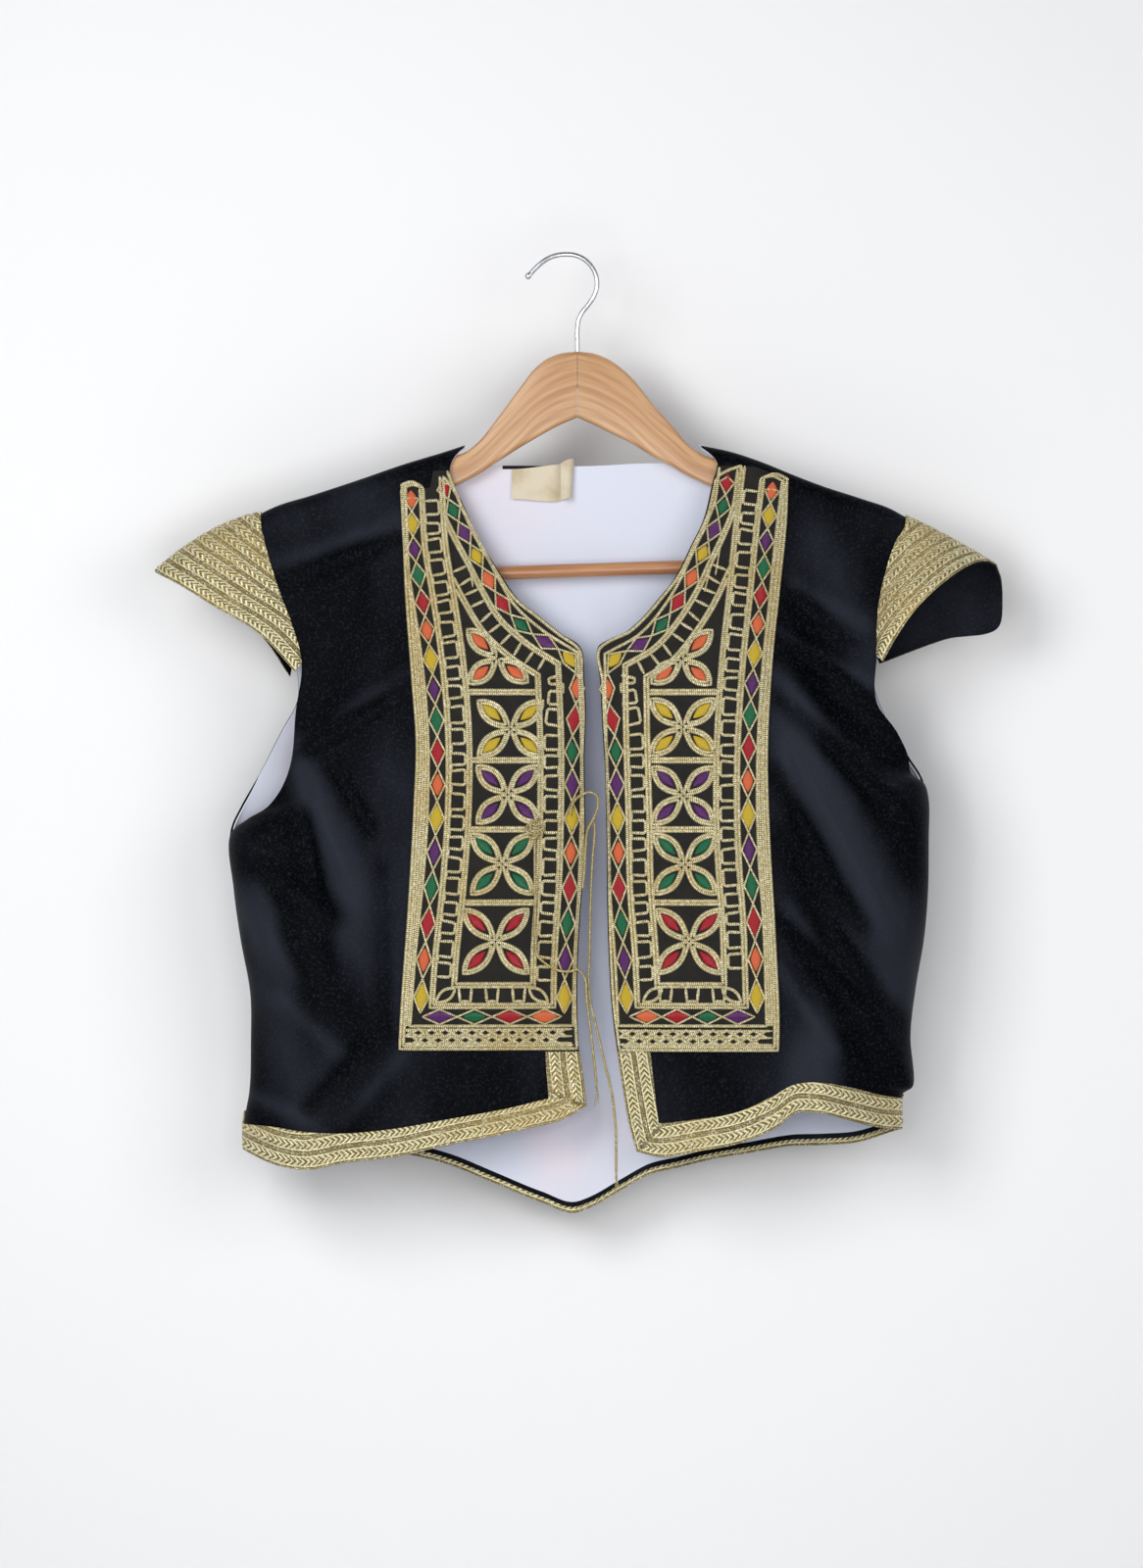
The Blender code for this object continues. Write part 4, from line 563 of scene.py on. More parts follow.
def front_depth(side, x, z, edge):
    """Distance of the front velvet face from the side plane."""
    below = np.maximum(0.0, ridge_height(x) - z)
    top = quarter_round(below, SHOULDER_ROLL)
    stand = np.maximum(0.0, value_at(side.armhole, "z", "depth", z))
    roll = side_roll(edge, np.clip(stand / STANDS_OPEN, 0.0, 1.0))
    body = SHOULDER_DEPTH + (CHEST_DEPTH - SHOULDER_DEPTH) * smooth(below / CHEST_BELOW)
    body = body - (CHEST_DEPTH - HEM_DEPTH) * smooth((WAIST_LEVEL - z) / WAIST_RUN)
    from_edge = np.clip(np.abs(x - GAP_X) / DIP_WIDE, 0.0, 1.0)
    dip = FRONT_EDGE_DIP * (1 - from_edge) ** 2 * smooth((DIP_LEVEL - z) / DIP_RUN)
    beyond = side.sign * (x - side.panel_edge)
    folds = fold_height(side.folds, x, z) * smooth(beyond / FOLD_EASE)
    creases = fold_height(side.creases, x, z) * smooth((beyond - CREASE_START) / CREASE_EASE)
    return top * (stand + (body - dip - stand) * roll) + (folds + creases) * roll * top


def back_depth(x, z, edge):
    """Distance of the back velvet face from the side plane."""
    below = np.maximum(0.0, ridge_height(x) - z)
    top = quarter_round(below, SHOULDER_ROLL)
    armhole_low = np.where(x < MIDDLE_X, LEFT.armhole_low, RIGHT.armhole_low)
    stand = BACK_STAND * smooth((z - armhole_low) / BACK_STAND_RUN)
    roll = side_roll(edge, np.clip(stand / BACK_STANDS_OPEN, 0.0, 1.0))
    body = SHOULDER_DEPTH + (BACK_DEPTH - SHOULDER_DEPTH) * smooth(below / BACK_BELOW)
    stand = np.minimum(stand, body)
    folds = fold_height(BACK_FOLDS + BACK_CREASES, x, z) * roll * top
    return top * (stand + (body - stand) * roll) + folds


def section_row(side, section, x, near):
    """Heights along a section, bent like the top of the shoulder by the share that is near it."""
    share = (x - section.inner_x) / (section.outer_x - section.inner_x)
    straight = section.inner_z + (section.outer_z - section.inner_z) * share
    ridge = side.ridge[0].z + (side.ridge[-1].z - side.ridge[0].z) * share
    return straight + (ridge_height(x) - ridge) * near


def finer(values, step, squeeze_end=False):
    """Places between the values, each about one step from the last, and where the values are."""
    places = [float(values[0])]
    marks = [0]
    last = len(values) - 2
    for index, (start, end) in enumerate(zip(values[:-1], values[1:])):
        pieces = max(1, math.ceil(abs(end - start) / step))
        if index == last and squeeze_end:
            pieces = max(5, pieces)
        for piece in range(1, pieces + 1):
            share = piece / pieces
            if index == last and squeeze_end:
                share = 1.0 - (1.0 - share) ** 2
            places.append(float(start + (end - start) * share))
        marks.append(len(places) - 1)
    return np.array(places), marks


def finer_rows(plane, step, squeeze_end=True):
    """Finer rows between those of a flat grid of x and z."""
    gaps = np.linalg.norm(np.diff(plane, axis=0), axis=2).mean(axis=1)
    places = np.concatenate([[0.0], np.cumsum(gaps)])
    wanted, marks = finer(places, step, squeeze_end)
    return smooth_between(plane, places, wanted), marks


def roll_steps(count):
    """Distances from a side edge that follow the turn of the cloth evenly."""
    turns = np.linspace(math.pi / 2, 0.0, count)
    return SIDE_ROLL * (1.0 - np.cos(turns))


def front_columns(side, inner_x, outer_x):
    start_roll = outer_x - side.sign * SIDE_ROLL
    strip = np.linspace(0.0, side.columns[1], STRIP_COLUMNS + 1)
    rest = np.linspace(side.columns[1], 1.0, FRONT_COLUMNS)[1:-1]
    inner_part = inner_x + (start_roll - inner_x) * np.concatenate([strip, rest])
    return np.concatenate([inner_part, outer_x - side.sign * roll_steps(ROLL_COLUMNS)])


def front_plane(side):
    """Rows from the hem up and columns from the front edge to the side, flat."""
    rows = []
    hem = side.hem
    inner_hem, outer_hem = hem[0], hem[-1]
    for share in FRONT_HEM_SHARES:
        x = front_columns(side, inner_hem.x, outer_hem.x)
        bottom = value_at(hem, "x", "bottom", x)
        top = value_at(hem, "x", "braid_top", x)
        lean = (side.sections[0].inner_x - inner_hem.x) * share * HEM_LEAN
        reach = np.abs(x - outer_hem.x) / abs(inner_hem.x - outer_hem.x)
        rows.append((x + lean * reach, bottom + (top - bottom) * share))
    below_ridge = len(side.sections) - 1 - RIDGE_ROWS
    for index, section in enumerate(side.sections):
        x = front_columns(side, section.inner_x, section.outer_x)
        z = section_row(side, section, x, max(0.0, (index - below_ridge) / RIDGE_ROWS))
        if index < len(HEM_SAGS):
            share = (x - section.inner_x) / (section.outer_x - section.inner_x)
            line = inner_hem.bottom + (outer_hem.bottom - inner_hem.bottom) * share
            z = z + (value_at(hem, "x", "bottom", x) - line) * HEM_SAGS[index]
        rows.append((x, z))
    rows[-1] = (rows[-1][0], ridge_height(rows[-1][0]))
    return np.array(rows).transpose(0, 2, 1)


def front_grid(side):
    plane, marks = finer_rows(front_plane(side), ROW_STEP)
    x, z = plane[:, :, 0], plane[:, :, 1]
    z[-1] = ridge_height(x[-1])
    edge = np.abs(x - x[:, -1:])
    depth = front_depth(side, x, z, edge)
    return np.stack([x, -(SEAM_HALF_GAP + depth), z], axis=2), marks


def back_columns(share, left_x, right_x):
    """Columns from side to side."""
    middle = [c.hem_x + (c.top_x - c.hem_x) * share for c in BACK_COLUMNS]
    stops = [left_x + SIDE_ROLL] + middle + [right_x - SIDE_ROLL]
    places = [stops[0]]
    for start, end in zip(stops[:-1], stops[1:]):
        places.extend(np.linspace(start, end, BACK_SPLIT + 1)[1:])
    left_roll = left_x + roll_steps(ROLL_COLUMNS)[::-1][:-1]
    right_roll = right_x - roll_steps(ROLL_COLUMNS)[1:]
    return np.concatenate([left_roll, places, right_roll])


def back_plane():
    """Rows from the hem up, then the rows that only the two shoulders have, flat."""
    hem_left, hem_right = BACK_HEM[0], BACK_HEM[-1]
    neck_left, neck_right = BACK_NECK[0], BACK_NECK[-1]
    rows = []
    for level in BACK_HEM_LEVELS:
        x = back_columns(0.0, hem_left.x, hem_right.x)
        rows.append((x, value_at(BACK_HEM, "x", "z", x) + level))
    for row in BACK_ROWS:
        left_share = (row.left_z - hem_left.z) / (neck_left.z - hem_left.z)
        right_share = (row.right_z - hem_right.z) / (neck_right.z - hem_right.z)
        left_x = float(value_at(BACK_LEFT_EDGE, "z", "x", row.left_z))
        right_x = float(value_at(BACK_RIGHT_EDGE, "z", "x", row.right_z))
        x = back_columns((left_share + right_share) / 2, left_x, right_x)
        across = (x - left_x) / (right_x - left_x)
        share = left_share + (right_share - left_share) * across
        bottom = value_at(BACK_HEM, "x", "z", x)
        rows.append((x, bottom + (value_at(BACK_NECK, "x", "z", x) - bottom) * share))
    for index in range(SHOULDER_ROWS):
        rows.append(shoulder_row(index))
    return np.array(rows).transpose(0, 2, 1)


def shoulder_row(index):
    left = LEFT.sections[index - SHOULDER_ROWS]
    right = RIGHT.sections[index - SHOULDER_ROWS]
    x = back_columns(1.0, left.outer_x, right.outer_x)
    x[: LEFT_NECK + 1] = stretch(x[: LEFT_NECK + 1], x[0], left.inner_x)
    x[RIGHT_NECK:] = stretch(x[RIGHT_NECK:], right.inner_x, x[-1])
    z = np.full_like(x, left.inner_z)
    near = (index + 1) / SHOULDER_ROWS
    for side, section, part in (
        (LEFT, left, slice(0, LEFT_NECK + 1)),
        (RIGHT, right, slice(RIGHT_NECK, len(x))),
    ):
        z[part] = section_row(side, section, x[part], near)
        if index == SHOULDER_ROWS - 1:
            z[part] = ridge_height(x[part])
    return x, z


def stretch(values, low, high):
    """The same spread of values between two new ends."""
    return low + (values - values[0]) * (high - low) / (values[-1] - values[0])


def meet_front(side, x, z, column):
    """The back's columns near a side, its edge moved onto the front's below the armhole."""
    line = finer_rows(front_plane(side), ROW_STEP)[0][:, -1]
    wanted = np.interp(z[:, column], line[:, 1], line[:, 0])
    below = smooth((side.armhole_low - z[:, column]) / SEAM_EASE)
    shift = (wanted - x[:, column]) * below
    near = 1.0 - smooth(np.abs(x - x[:, column, None]) / SEAM_SPREAD)
    return x + shift[:, None] * near


def back_grid():
    plane, marks = finer_rows(back_plane(), ROW_STEP)
    x, z = plane[:, :, 0], plane[:, :, 1]
    x = meet_front(LEFT, x, z, 0)
    x = meet_front(RIGHT, x, z, -1)
    edge = np.minimum(x - x[:, :1], x[:, -1:] - x)
    depth = back_depth(x, z, edge)
    return np.stack([x, SEAM_HALF_GAP + depth, z], axis=2), marks


def unit(vectors):
    length = np.linalg.norm(vectors, axis=-1, keepdims=True)
    return vectors / np.maximum(length, 1e-9)


def averaged_tangents(grid, axis):
    steps = unit(np.diff(grid, axis=axis))
    first = np.take(steps, [0], axis=axis)
    last = np.take(steps, [-1], axis=axis)
    return unit(np.concatenate([first, steps], axis) + np.concatenate([steps, last], axis))


def grid_normals(grid, facing):
    normals = unit(np.cross(averaged_tangents(grid, 1), averaged_tangents(grid, 0)))
    if np.sum(normals @ np.array(facing, float)) < 0:
        normals = -normals
    flat = np.abs(grid[:, :, 1]) < SEAM_HALF_GAP + 0.01
    normals[flat, 1] = 0.0
    return unit(normals)


def grid_cells(rows, columns):
    """Corner numbers of each cell of a grid."""
    start = (np.arange(rows - 1)[:, None] * columns + np.arange(columns - 1)[None, :]).ravel()
    return np.stack([start, start + 1, start + columns + 1, start + columns], axis=1)


def closed_faces(cells, shift):
    """Faces of both sides of a wall and of the rim round it."""
    sides = {}
    for cell in cells.tolist():
        for a, b in zip(cell, cell[1:] + cell[:1]):
            if (b, a) in sides:
                del sides[(b, a)]
            else:
                sides[(a, b)] = True
    faces = cells.tolist()
    faces += (cells[:, ::-1] + shift).tolist()
    faces += [(b, a, a + shift, b + shift) for a, b in sides]
    return faces


def add_mesh(name, points, faces, finish, places=None):
    """Mesh object in metres, with places in millimetres as its texture coordinates."""
    mesh = bpy.data.meshes.new(name)
    mesh.from_pydata((np.asarray(points) * MM).tolist(), [], faces)
    if places is not None:
        lay_map(mesh, "places", np.asarray(places, float))
    turn_outward(mesh)
    mesh.materials.append(finish)
    item = bpy.data.objects.new(name, mesh)
    bpy.context.scene.collection.objects.link(item)
    mesh.shade_smooth()
    mesh.set_sharp_from_angle(angle=math.radians(SHARP_ANGLE))
    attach(item, "root")
    return item


def lay_map(mesh, name, values):
    """Texture coordinates from a pair of values at each point."""
    layer = mesh.uv_layers.new(name=name)
    corners = np.zeros(len(mesh.loops), dtype=np.int32)
    mesh.loops.foreach_get("vertex_index", corners)
    layer.data.foreach_set("uv", values[corners].ravel())


def turn_outward(mesh):
    corners = np.zeros(len(mesh.vertices) * 3)
    mesh.vertices.foreach_get("co", corners)
    corners = corners.reshape(-1, 3)
    mesh.calc_loop_triangles()
    triangles = np.zeros(len(mesh.loop_triangles) * 3, dtype=np.int32)
    mesh.loop_triangles.foreach_get("vertices", triangles)
    a, b, c = corners[triangles.reshape(-1, 3)].transpose(1, 0, 2)
    if np.sum(a * np.cross(b, c)) < 0:
        mesh.flip_normals()


def wall(name, grid, normals, face, back, finish, cells=None, places=None, nap=None):
    """Closed wall between two offsets of one grid, with painted fold light and shade as a second map."""
    rows, columns = grid.shape[:2]
    if cells is None:
        cells = grid_cells(rows, columns)
    face = np.broadcast_to(face, (rows, columns))[:, :, None]
    used = np.unique(cells)
    number = np.zeros(rows * columns, dtype=int)
    number[used] = np.arange(len(used))
    outer = (grid + normals * face).reshape(-1, 3)[used]
    inner = (grid + normals * back).reshape(-1, 3)[used]
    if places is None:
        places = grid[:, :, [0, 2]]
    places = places.reshape(-1, 2)[used]
    item = add_mesh(
        name,
        np.concatenate([outer, inner]),
        closed_faces(number[cells], len(used)),
        finish,
        np.concatenate([places, places]),
    )
    # painted fold light and shade: fold heights kept as a map that paints the velvet lighter on crests
    # and darker in troughs
    if nap is not None:
        painted_lightness = nap.ravel()[used]
        spread = np.stack([np.tile(painted_lightness, 2), np.zeros(2 * len(used))], axis=1)
        lay_map(item.data, "nap", spread)
    return item


def braid_relief(across):
    """Swelling of the parallel rows of braid, from the distance to the cloth's edge."""
    row = np.abs(np.sin(math.pi * across / BRAID_ROW))
    return BRAID_FACE - 0.45 + 0.55 * np.sqrt(row)


def make_front(side, velvet, lining, braid):
    grid, marks = front_grid(side)
    normals = grid_normals(grid, (0, -1, 0))
    rows, columns = grid.shape[:2]
    name = side.name
    # fold heights for painted fold light and shade: the velvet colour is painted lighter on crests and
    # darker in troughs
    nap = fold_height(side.folds + side.creases, grid[:, :, 0], grid[:, :, 2])
    front = wall("velvet_front_" + name, grid, normals, 0.0, -VELVET, velvet, nap=nap / PAINTED_FOLD_SCALE)
    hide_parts("front_" + name)
    low = marks[1]
    inside = wall("lining_front_" + name, grid[low:], normals[low:], LINING_FACE, LINING_BACK, lining)
    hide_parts("front_lining_" + name)
    cells = grid_cells(rows, columns)
    row, place = cells[:, 0] // columns, cells[:, 0] % columns
    on_hem = row < marks[2]
    strip_top = int(np.argmax(grid[:, 0, 2] > STRIP_TOP + STRIP_UNDER))
    on_edge = (row < strip_top) & (place < STRIP_COLUMNS)
    trimmed = grid.copy()
    above = np.maximum(0.0, grid[:, :, 2] - STRIP_TOP)
    trimmed[:, :, 2] = np.where(above > 0, STRIP_TOP + STRIP_SQUEEZE * above, grid[:, :, 2])
    from_hem = grid[:, :, 2] - grid[0, :, 2]
    from_front = np.abs(grid[:, :, 0] - grid[:, :1, 0])
    across = np.minimum(from_hem, from_front)
    along = np.where(from_hem < from_front, grid[:, :, 0], grid[:, :, 2])
    relief = braid_relief(across)
    trim = wall("braid_hem_" + name, trimmed, normals, relief, BRAID_BACK, braid,
                cells[on_hem | on_edge], np.stack([along, across], axis=2))
    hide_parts("hem_braid_" + name)
    return grid, marks


def make_back(velvet, lining, braid):
    grid, marks = back_grid()
    normals = grid_normals(grid, (0, 1, 0))
    rows, columns = grid.shape[:2]
    cells = grid_cells(rows, columns)
    row, place = cells[:, 0] // columns, cells[:, 0] % columns
    neck_row = marks[len(BACK_HEM_LEVELS) + len(BACK_ROWS) - 1]
    cloth = (row < neck_row) | (place < LEFT_NECK) | (place >= RIGHT_NECK)
    # fold heights for painted fold light and shade: the velvet colour is painted lighter on crests and
    # darker in troughs
    nap = fold_height(BACK_FOLDS + BACK_CREASES, grid[:, :, 0], grid[:, :, 2])
    back = wall("velvet_back", grid, normals, 0.0, -VELVET, velvet, cells[cloth & (row >= marks[1])],
                nap=nap / PAINTED_FOLD_SCALE)
    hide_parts("back_panel")
    x = grid[row, place, 0]
    bare = (row == neck_row - 1) & (x > NECK_LINE[0]) & (x < NECK_LINE[1])
    inside = wall("lining_back", grid, normals, LINING_FACE, LINING_BACK, lining,
                  cells[cloth & (row >= marks[2]) & ~bare])
    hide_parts("back_lining")
    across = grid[:, :, 2] - grid[0, :, 2]
    places = np.stack([grid[:, :, 0], across], axis=2)
    trim = wall("braid_hem_back", grid, normals, braid_relief(across), BRAID_BACK, braid,
                cells[row < marks[3]], places)
    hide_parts("hem_braid_back")
    return grid, marks


def along_line(line):
    steps = np.linalg.norm(np.diff(line, axis=0), axis=1)
    return np.concatenate([[0.0], np.cumsum(steps)])


def hem_at(rows, shares):
    points = np.array([[row.x, row.y, row.z] for row in rows], float)
    where = along_line(points)
    return smooth_between(points, where, np.asarray(shares) * where[-1])


def spread_to_tip(shares):
    return 1.0 - (1.0 - shares) ** 1.15


def make_sleeve(side, front_edge, back_edge, front_hem, back_hem, crown, velvet, braid):
    """Sleeve from the seam on the armhole to its own hem, front notch over the top to back notch."""
    over = back_edge[::-1]
    middle = (front_edge[-1] + over[0]) / 2
    seam = np.concatenate([front_edge[:-1], [middle], over[1:]])
    front_count = len(front_edge)
    front_where = along_line(seam[:front_count])
    back_where = along_line(seam[front_count - 1:])
    front_shares = front_where / front_where[-1]
    back_shares = back_where / back_where[-1]
    front_part = hem_at(front_hem, spread_to_tip(front_shares))
    back_part = hem_at(back_hem, 1.0 - spread_to_tip((1.0 - back_shares)[::-1])[::-1])
    hem = np.concatenate([front_part, back_part[1:]])
    tip_share = np.concatenate([front_shares, (1.0 - back_shares)[1:]])
    share = np.linspace(0.0, 1.0, SLEEVE_RINGS + 1)[:, None]
    grid = seam + (hem - seam) * share[:, :, None]
    swell = 4 * share * (1 - share)
    grid[:, :, 2] += swell * crown * tip_share ** 2
    bow = swell * 2.5 * (1 - tip_share ** 4)
    grid[:, :front_count, 1] -= bow[:, :front_count]
    grid[:, front_count:, 1] += bow[:, front_count:]
    grid[:, :, 0] += side.sign * 0.5
    normals = unit(np.cross(averaged_tangents(grid, 1), averaged_tangents(grid, 0)))
    if np.sum(normals[:, front_count - 1, 2]) < 0:
        normals = -normals
    normals[:, :POINT_COLUMNS] = normals[:, POINT_COLUMNS, None]
    normals[:, -POINT_COLUMNS:] = normals[:, -POINT_COLUMNS - 1, None]
    steps = np.linalg.norm(np.diff(grid, axis=0), axis=2)
    from_hem = np.concatenate([np.cumsum(steps[::-1], axis=0)[::-1], np.zeros((1, len(hem)))])
    along = np.broadcast_to(along_line(hem), from_hem.shape)
    tip_rows = np.minimum(along, along[:, -1:] - along)
    ends = (0.3 + 0.7 * smooth(tip_rows / POINT_LENGTH))[:, :, None]
    inside = wall("velvet_sleeve_" + side.name, grid, normals, 0.0, -VELVET * ends, velvet)
    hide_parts("sleeve_" + side.name)
    places = np.stack([along, from_hem], axis=2)
    outside = wall("braid_sleeve_" + side.name, grid, normals, braid_relief(from_hem), BRAID_BACK,
                   braid, None, places)
    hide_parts("sleeve_braid_" + side.name)


def ring_faces(rings, around):
    """Faces between rings of points and over both ends."""
    turns = np.arange(around)
    following = np.roll(turns, -1)
    starts = np.arange(rings - 1)[:, None] * around
    quads = np.stack([starts + turns, starts + following,
                      starts + following + around, starts + turns + around], axis=2)
    ends = [turns[::-1].tolist(), (turns + (rings - 1) * around).tolist()]
    return quads.reshape(-1, 4).tolist() + ends


def tube_mesh(path, widths, heights, ups, sides):
    """Points, faces and places of a tube of oval section round a path."""
    path = np.asarray(path, float)
    along = averaged_tangents(path, 0)
    across = unit(np.cross(along, ups))
    up = np.cross(across, along)
    turns = np.linspace(0.0, 2 * math.pi, sides, endpoint=False)
    widths = np.broadcast_to(widths, len(path))[:, None, None]
    heights = np.broadcast_to(heights, len(path))[:, None, None]
    rings = path[:, None] + across[:, None] * np.cos(turns)[None, :, None] * widths
    rings = rings + up[:, None] * np.sin(turns)[None, :, None] * heights
    where = along_line(path)
    places = np.stack(np.broadcast_arrays(where[:, None], np.arange(sides)[None, :] / sides), axis=2)
    return rings.reshape(-1, 3), ring_faces(len(path), sides), places.reshape(-1, 2)


def rounded_section(low, high, half, radius):
    """Points round an upright rounded oblong, as y and z."""
    turns = np.linspace(0.0, math.pi / 2, 6)
    radius = min(radius, (high - low) / 2 - 0.1)
    corners = (
        (half - radius, high - radius, 0.0),
        (-half + radius, high - radius, math.pi / 2),
        (-half + radius, low + radius, math.pi),
        (half - radius, low + radius, 1.5 * math.pi),
    )
    points = []
    for y, z, start in corners:
        for turn in turns:
            points.append((y + radius * math.cos(start + turn), z + radius * math.sin(start + turn)))
    return points


def make_arm(name, stations, finish):
    x = np.array([s.x for s in stations])
    tops = np.array([[s.top, s.bottom] for s in stations])
    line = np.stack([x, tops.mean(axis=1)], axis=1)
    where = along_line(line)
    wanted = np.linspace(0.0, where[-1], ARM_RINGS)
    x = smooth_between(x, where, wanted)
    tops = smooth_between(tops, where, wanted)
    points = []
    places = []
    for place, run, (top, bottom) in zip(x, wanted, tops):
        ring = rounded_section(bottom, top, ARM_THICK / 2, ARM_ROUND)
        points += [(place, y, z) for y, z in ring]
        places += [(run, z - (top + bottom) / 2) for y, z in ring]
    around = len(points) // ARM_RINGS
    tip = np.array(points[-around:])
    for inward, spread in ARM_TIP:
        centre = tip.mean(axis=0)
        ring = centre + (tip - centre) * spread
        ring[:, 0] += inward * math.copysign(1.0, x[-1] - x[0])
        points += ring.tolist()
        places += places[-around:]
    faces = ring_faces(ARM_RINGS + len(ARM_TIP), around)
    return add_mesh(name, points, faces, finish, places)


def smooth_path(points, step):
    points = np.asarray(points, float)
    where = along_line(points)
    count = max(2, int(where[-1] / step))
    return smooth_between(points, where, np.linspace(0.0, where[-1], count))


def make_hanger(arm_wood, bar_wood, metal):
    for name, stations in (("arm_left", LEFT_ARM), ("arm_right", RIGHT_ARM)):
        arm = make_arm("wood_" + name, stations, arm_wood)
        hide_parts("hanger_" + name)
    start = np.array([BAR_LEFT[0], 0, BAR_LEFT[1]])
    end = np.array([BAR_RIGHT[0], 0, BAR_RIGHT[1]])
    path = start + (end - start) * np.linspace(0, 1, 40)[:, None]
    points, faces, places = tube_mesh(path, BAR_DIAMETER / 2, BAR_DIAMETER / 2, (0, 1, 0), 40)
    bar = add_mesh("wood_bar", points, faces, bar_wood, places * (1.0, math.pi * BAR_DIAMETER))
    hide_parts("hanger_bar")
    path = smooth_path([(p.x, 0, p.z) for p in HOOK_PATH], 1.2)
    tip = unit(path[-1] - path[-2])
    radii = [HOOK_DIAMETER / 2] * len(path)
    for along, wide in HOOK_BALL:
        path = np.concatenate([path, [path[-1] + tip * along]])
        radii.append(wide)
    radii = np.array(radii)
    hook = add_mesh("metal_hook", *tube_mesh(path, radii, radii, (0, 1, 0), 24)[:2], metal)
    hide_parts("hanger_hook")


def make_label(finish):
    """Folded strip, its top sloping and its fold standing up at the right."""
    line = smooth_path([(p.x, p.z) for p in LABEL_PATH], 0.8)
    share = np.linspace(0.0, 1.0, 30)[:, None]
    x = line[None, :, 0]
    folded = smooth((x + 6.0) / 9.0)
    top = LABEL_TOP - 3.6 * (1 - smooth((x + 37.5) / 40.0)) + 3.4 * folded
    bottom = LABEL_BOTTOM + 1.6 * smooth((x + 10.0) / 20.0) + 0.8 * np.sin(x / 7.0)
    grid = np.zeros((len(share), len(line), 3))
    grid[:, :, 0] = x + 1.8 * folded * (share - 0.5)
    grid[:, :, 2] = bottom + (top - bottom) * share
    wave = 0.5 * np.sin((x + 40) / 9.0) * smooth(1.0 - share * 2.5)
    grid[:, :, 1] = line[None, :, 1] - np.abs(wave)
    normals = np.zeros_like(grid)
    along = averaged_tangents(line, 0)
    normals[:, :, 0] = -along[None, :, 1]
    normals[:, :, 1] = along[None, :, 0]
    item = wall("cloth_label", grid, normals, LABEL_THICK, 0.0, finish)
    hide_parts("neck_label")


def before_left_front(x, z, lift):
    """Points that stand in front of the left front's velvet."""
    depth = front_depth(LEFT, x, z, np.full_like(x, SIDE_ROLL))
    return np.stack([x, -(SEAM_HALF_GAP + depth + lift), z], axis=1)


def make_cord(name, rows, finish):
    x, z, lift = np.array(rows, float).T
    path = smooth_path(before_left_front(x, z, lift), 0.7)
    radius = CORD_DIAMETER / 2
    points, faces, places = tube_mesh(path, radius, radius, TIE_UP, 12)
    item = add_mesh("gold_" + name, points, faces, finish, places)
    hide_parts(name)
    return item, path


def resample(line, step):
    """The same line with more points, its corners kept."""
    line = np.asarray(line, float)
    result = [line[:1]]
    for start, end in zip(line[:-1], line[1:]):
        pieces = max(1, int(round(np.linalg.norm(end - start) / step)))
        shares = np.arange(1, pieces + 1)[:, None] / pieces
        result.append(start + (end - start) * shares)
    return np.concatenate(result)


def offset_line(points, distance):
    points = np.asarray(points, float)
    steps = unit(np.diff(points, axis=0))
    sideways = np.stack([-steps[:, 1], steps[:, 0]], axis=1)
    before = np.concatenate([sideways[:1], sideways])
    after = np.concatenate([sideways, sideways[-1:]])
    joined = unit(before + after)
    stretched = np.maximum(0.45, np.sum(joined * after, axis=1))
    return points + joined * (distance / stretched)[:, None]


def pairs(rows):
    return [(row.x, row.z) for row in rows]


def surface(side, x, z, lift):
    """Points and normals at a height over the velvet of one front."""
    x, z = np.asarray(x, float), np.asarray(z, float)
    step = 0.5
    far = np.full_like(x, SIDE_ROLL)
    depth = front_depth(side, x, z, far)
    slope_x = (front_depth(side, x + step, z, far) - front_depth(side, x - step, z, far)) / (2 * step)
    slope_z = (front_depth(side, x, z + step, far) - front_depth(side, x, z - step, far)) / (2 * step)
    normal = unit(np.stack([-slope_x, -np.ones_like(x), -slope_z], axis=-1))
    base = np.stack([x, -(SEAM_HALF_GAP + depth), z], axis=-1)
    return base + normal * np.asarray(lift)[..., None], normal


class Track:
    """Line that a pattern follows, with places along it and beside it, inward."""

    def __init__(self, side, points):
        self.points = smooth_path(points, 2.0)
        self.where = along_line(self.points)
        self.length = self.where[-1]
        along = averaged_tangents(self.points, 0)
        self.inward = np.stack([-along[:, 1], along[:, 0]], axis=1) * -side.sign

    def read(self, values, along):
        return np.stack([np.interp(along, self.where, values[:, i]) for i in range(2)], axis=-1)

    def at(self, along, beside):
        along, beside = np.broadcast_arrays(np.asarray(along, float), np.asarray(beside, float))
        return self.read(self.points, along) + unit(self.read(self.inward, along)) * beside[..., None]


class Gathered:
    """Points, faces and places of many small shapes, made into one mesh."""

    def __init__(self):
        self.points = []
        self.faces = []
        self.places = []
        self.count = 0

    def take(self, points, faces, places):
        self.points.append(points)
        self.faces += [tuple(i + self.count for i in face) for face in faces]
        self.places.append(places)
        self.count += len(points)

    def build(self, name, finish):
        return add_mesh(name, np.concatenate(self.points), self.faces, finish,
                        np.concatenate(self.places))


class LaidCords(Gathered):
    """Gold cords laid on one panel."""

    def __init__(self, side):
        super().__init__()
        self.side = side

    def lay(self, line, wide=CORD_WIDE, high=CORD_HIGH, lift=CORD_LIFT):
        line = resample(line, CORD_STEP)
        ends = np.minimum(np.arange(len(line)), np.arange(len(line))[::-1])
        taper = np.where(ends == 0, 0.5, 1.0)
        path, normals = surface(self.side, line[:, 0], line[:, 1], np.full(len(line), lift))
        self.take(*tube_mesh(path, wide * taper, high * taper, normals, CORD_SIDES))

    def lay_plain(self, line, wide):
        """Cord through just these points, with a width for each."""
        path, normals = surface(self.side, line[:, 0], line[:, 1], np.full(len(line), CORD_LIFT))
        self.take(*tube_mesh(path, wide, CORD_HIGH, normals, CORD_SIDES))

    def loop(self, line, **sizes):
        line = np.asarray(line, float)
        self.lay(np.concatenate([line, line[:1]]), **sizes)


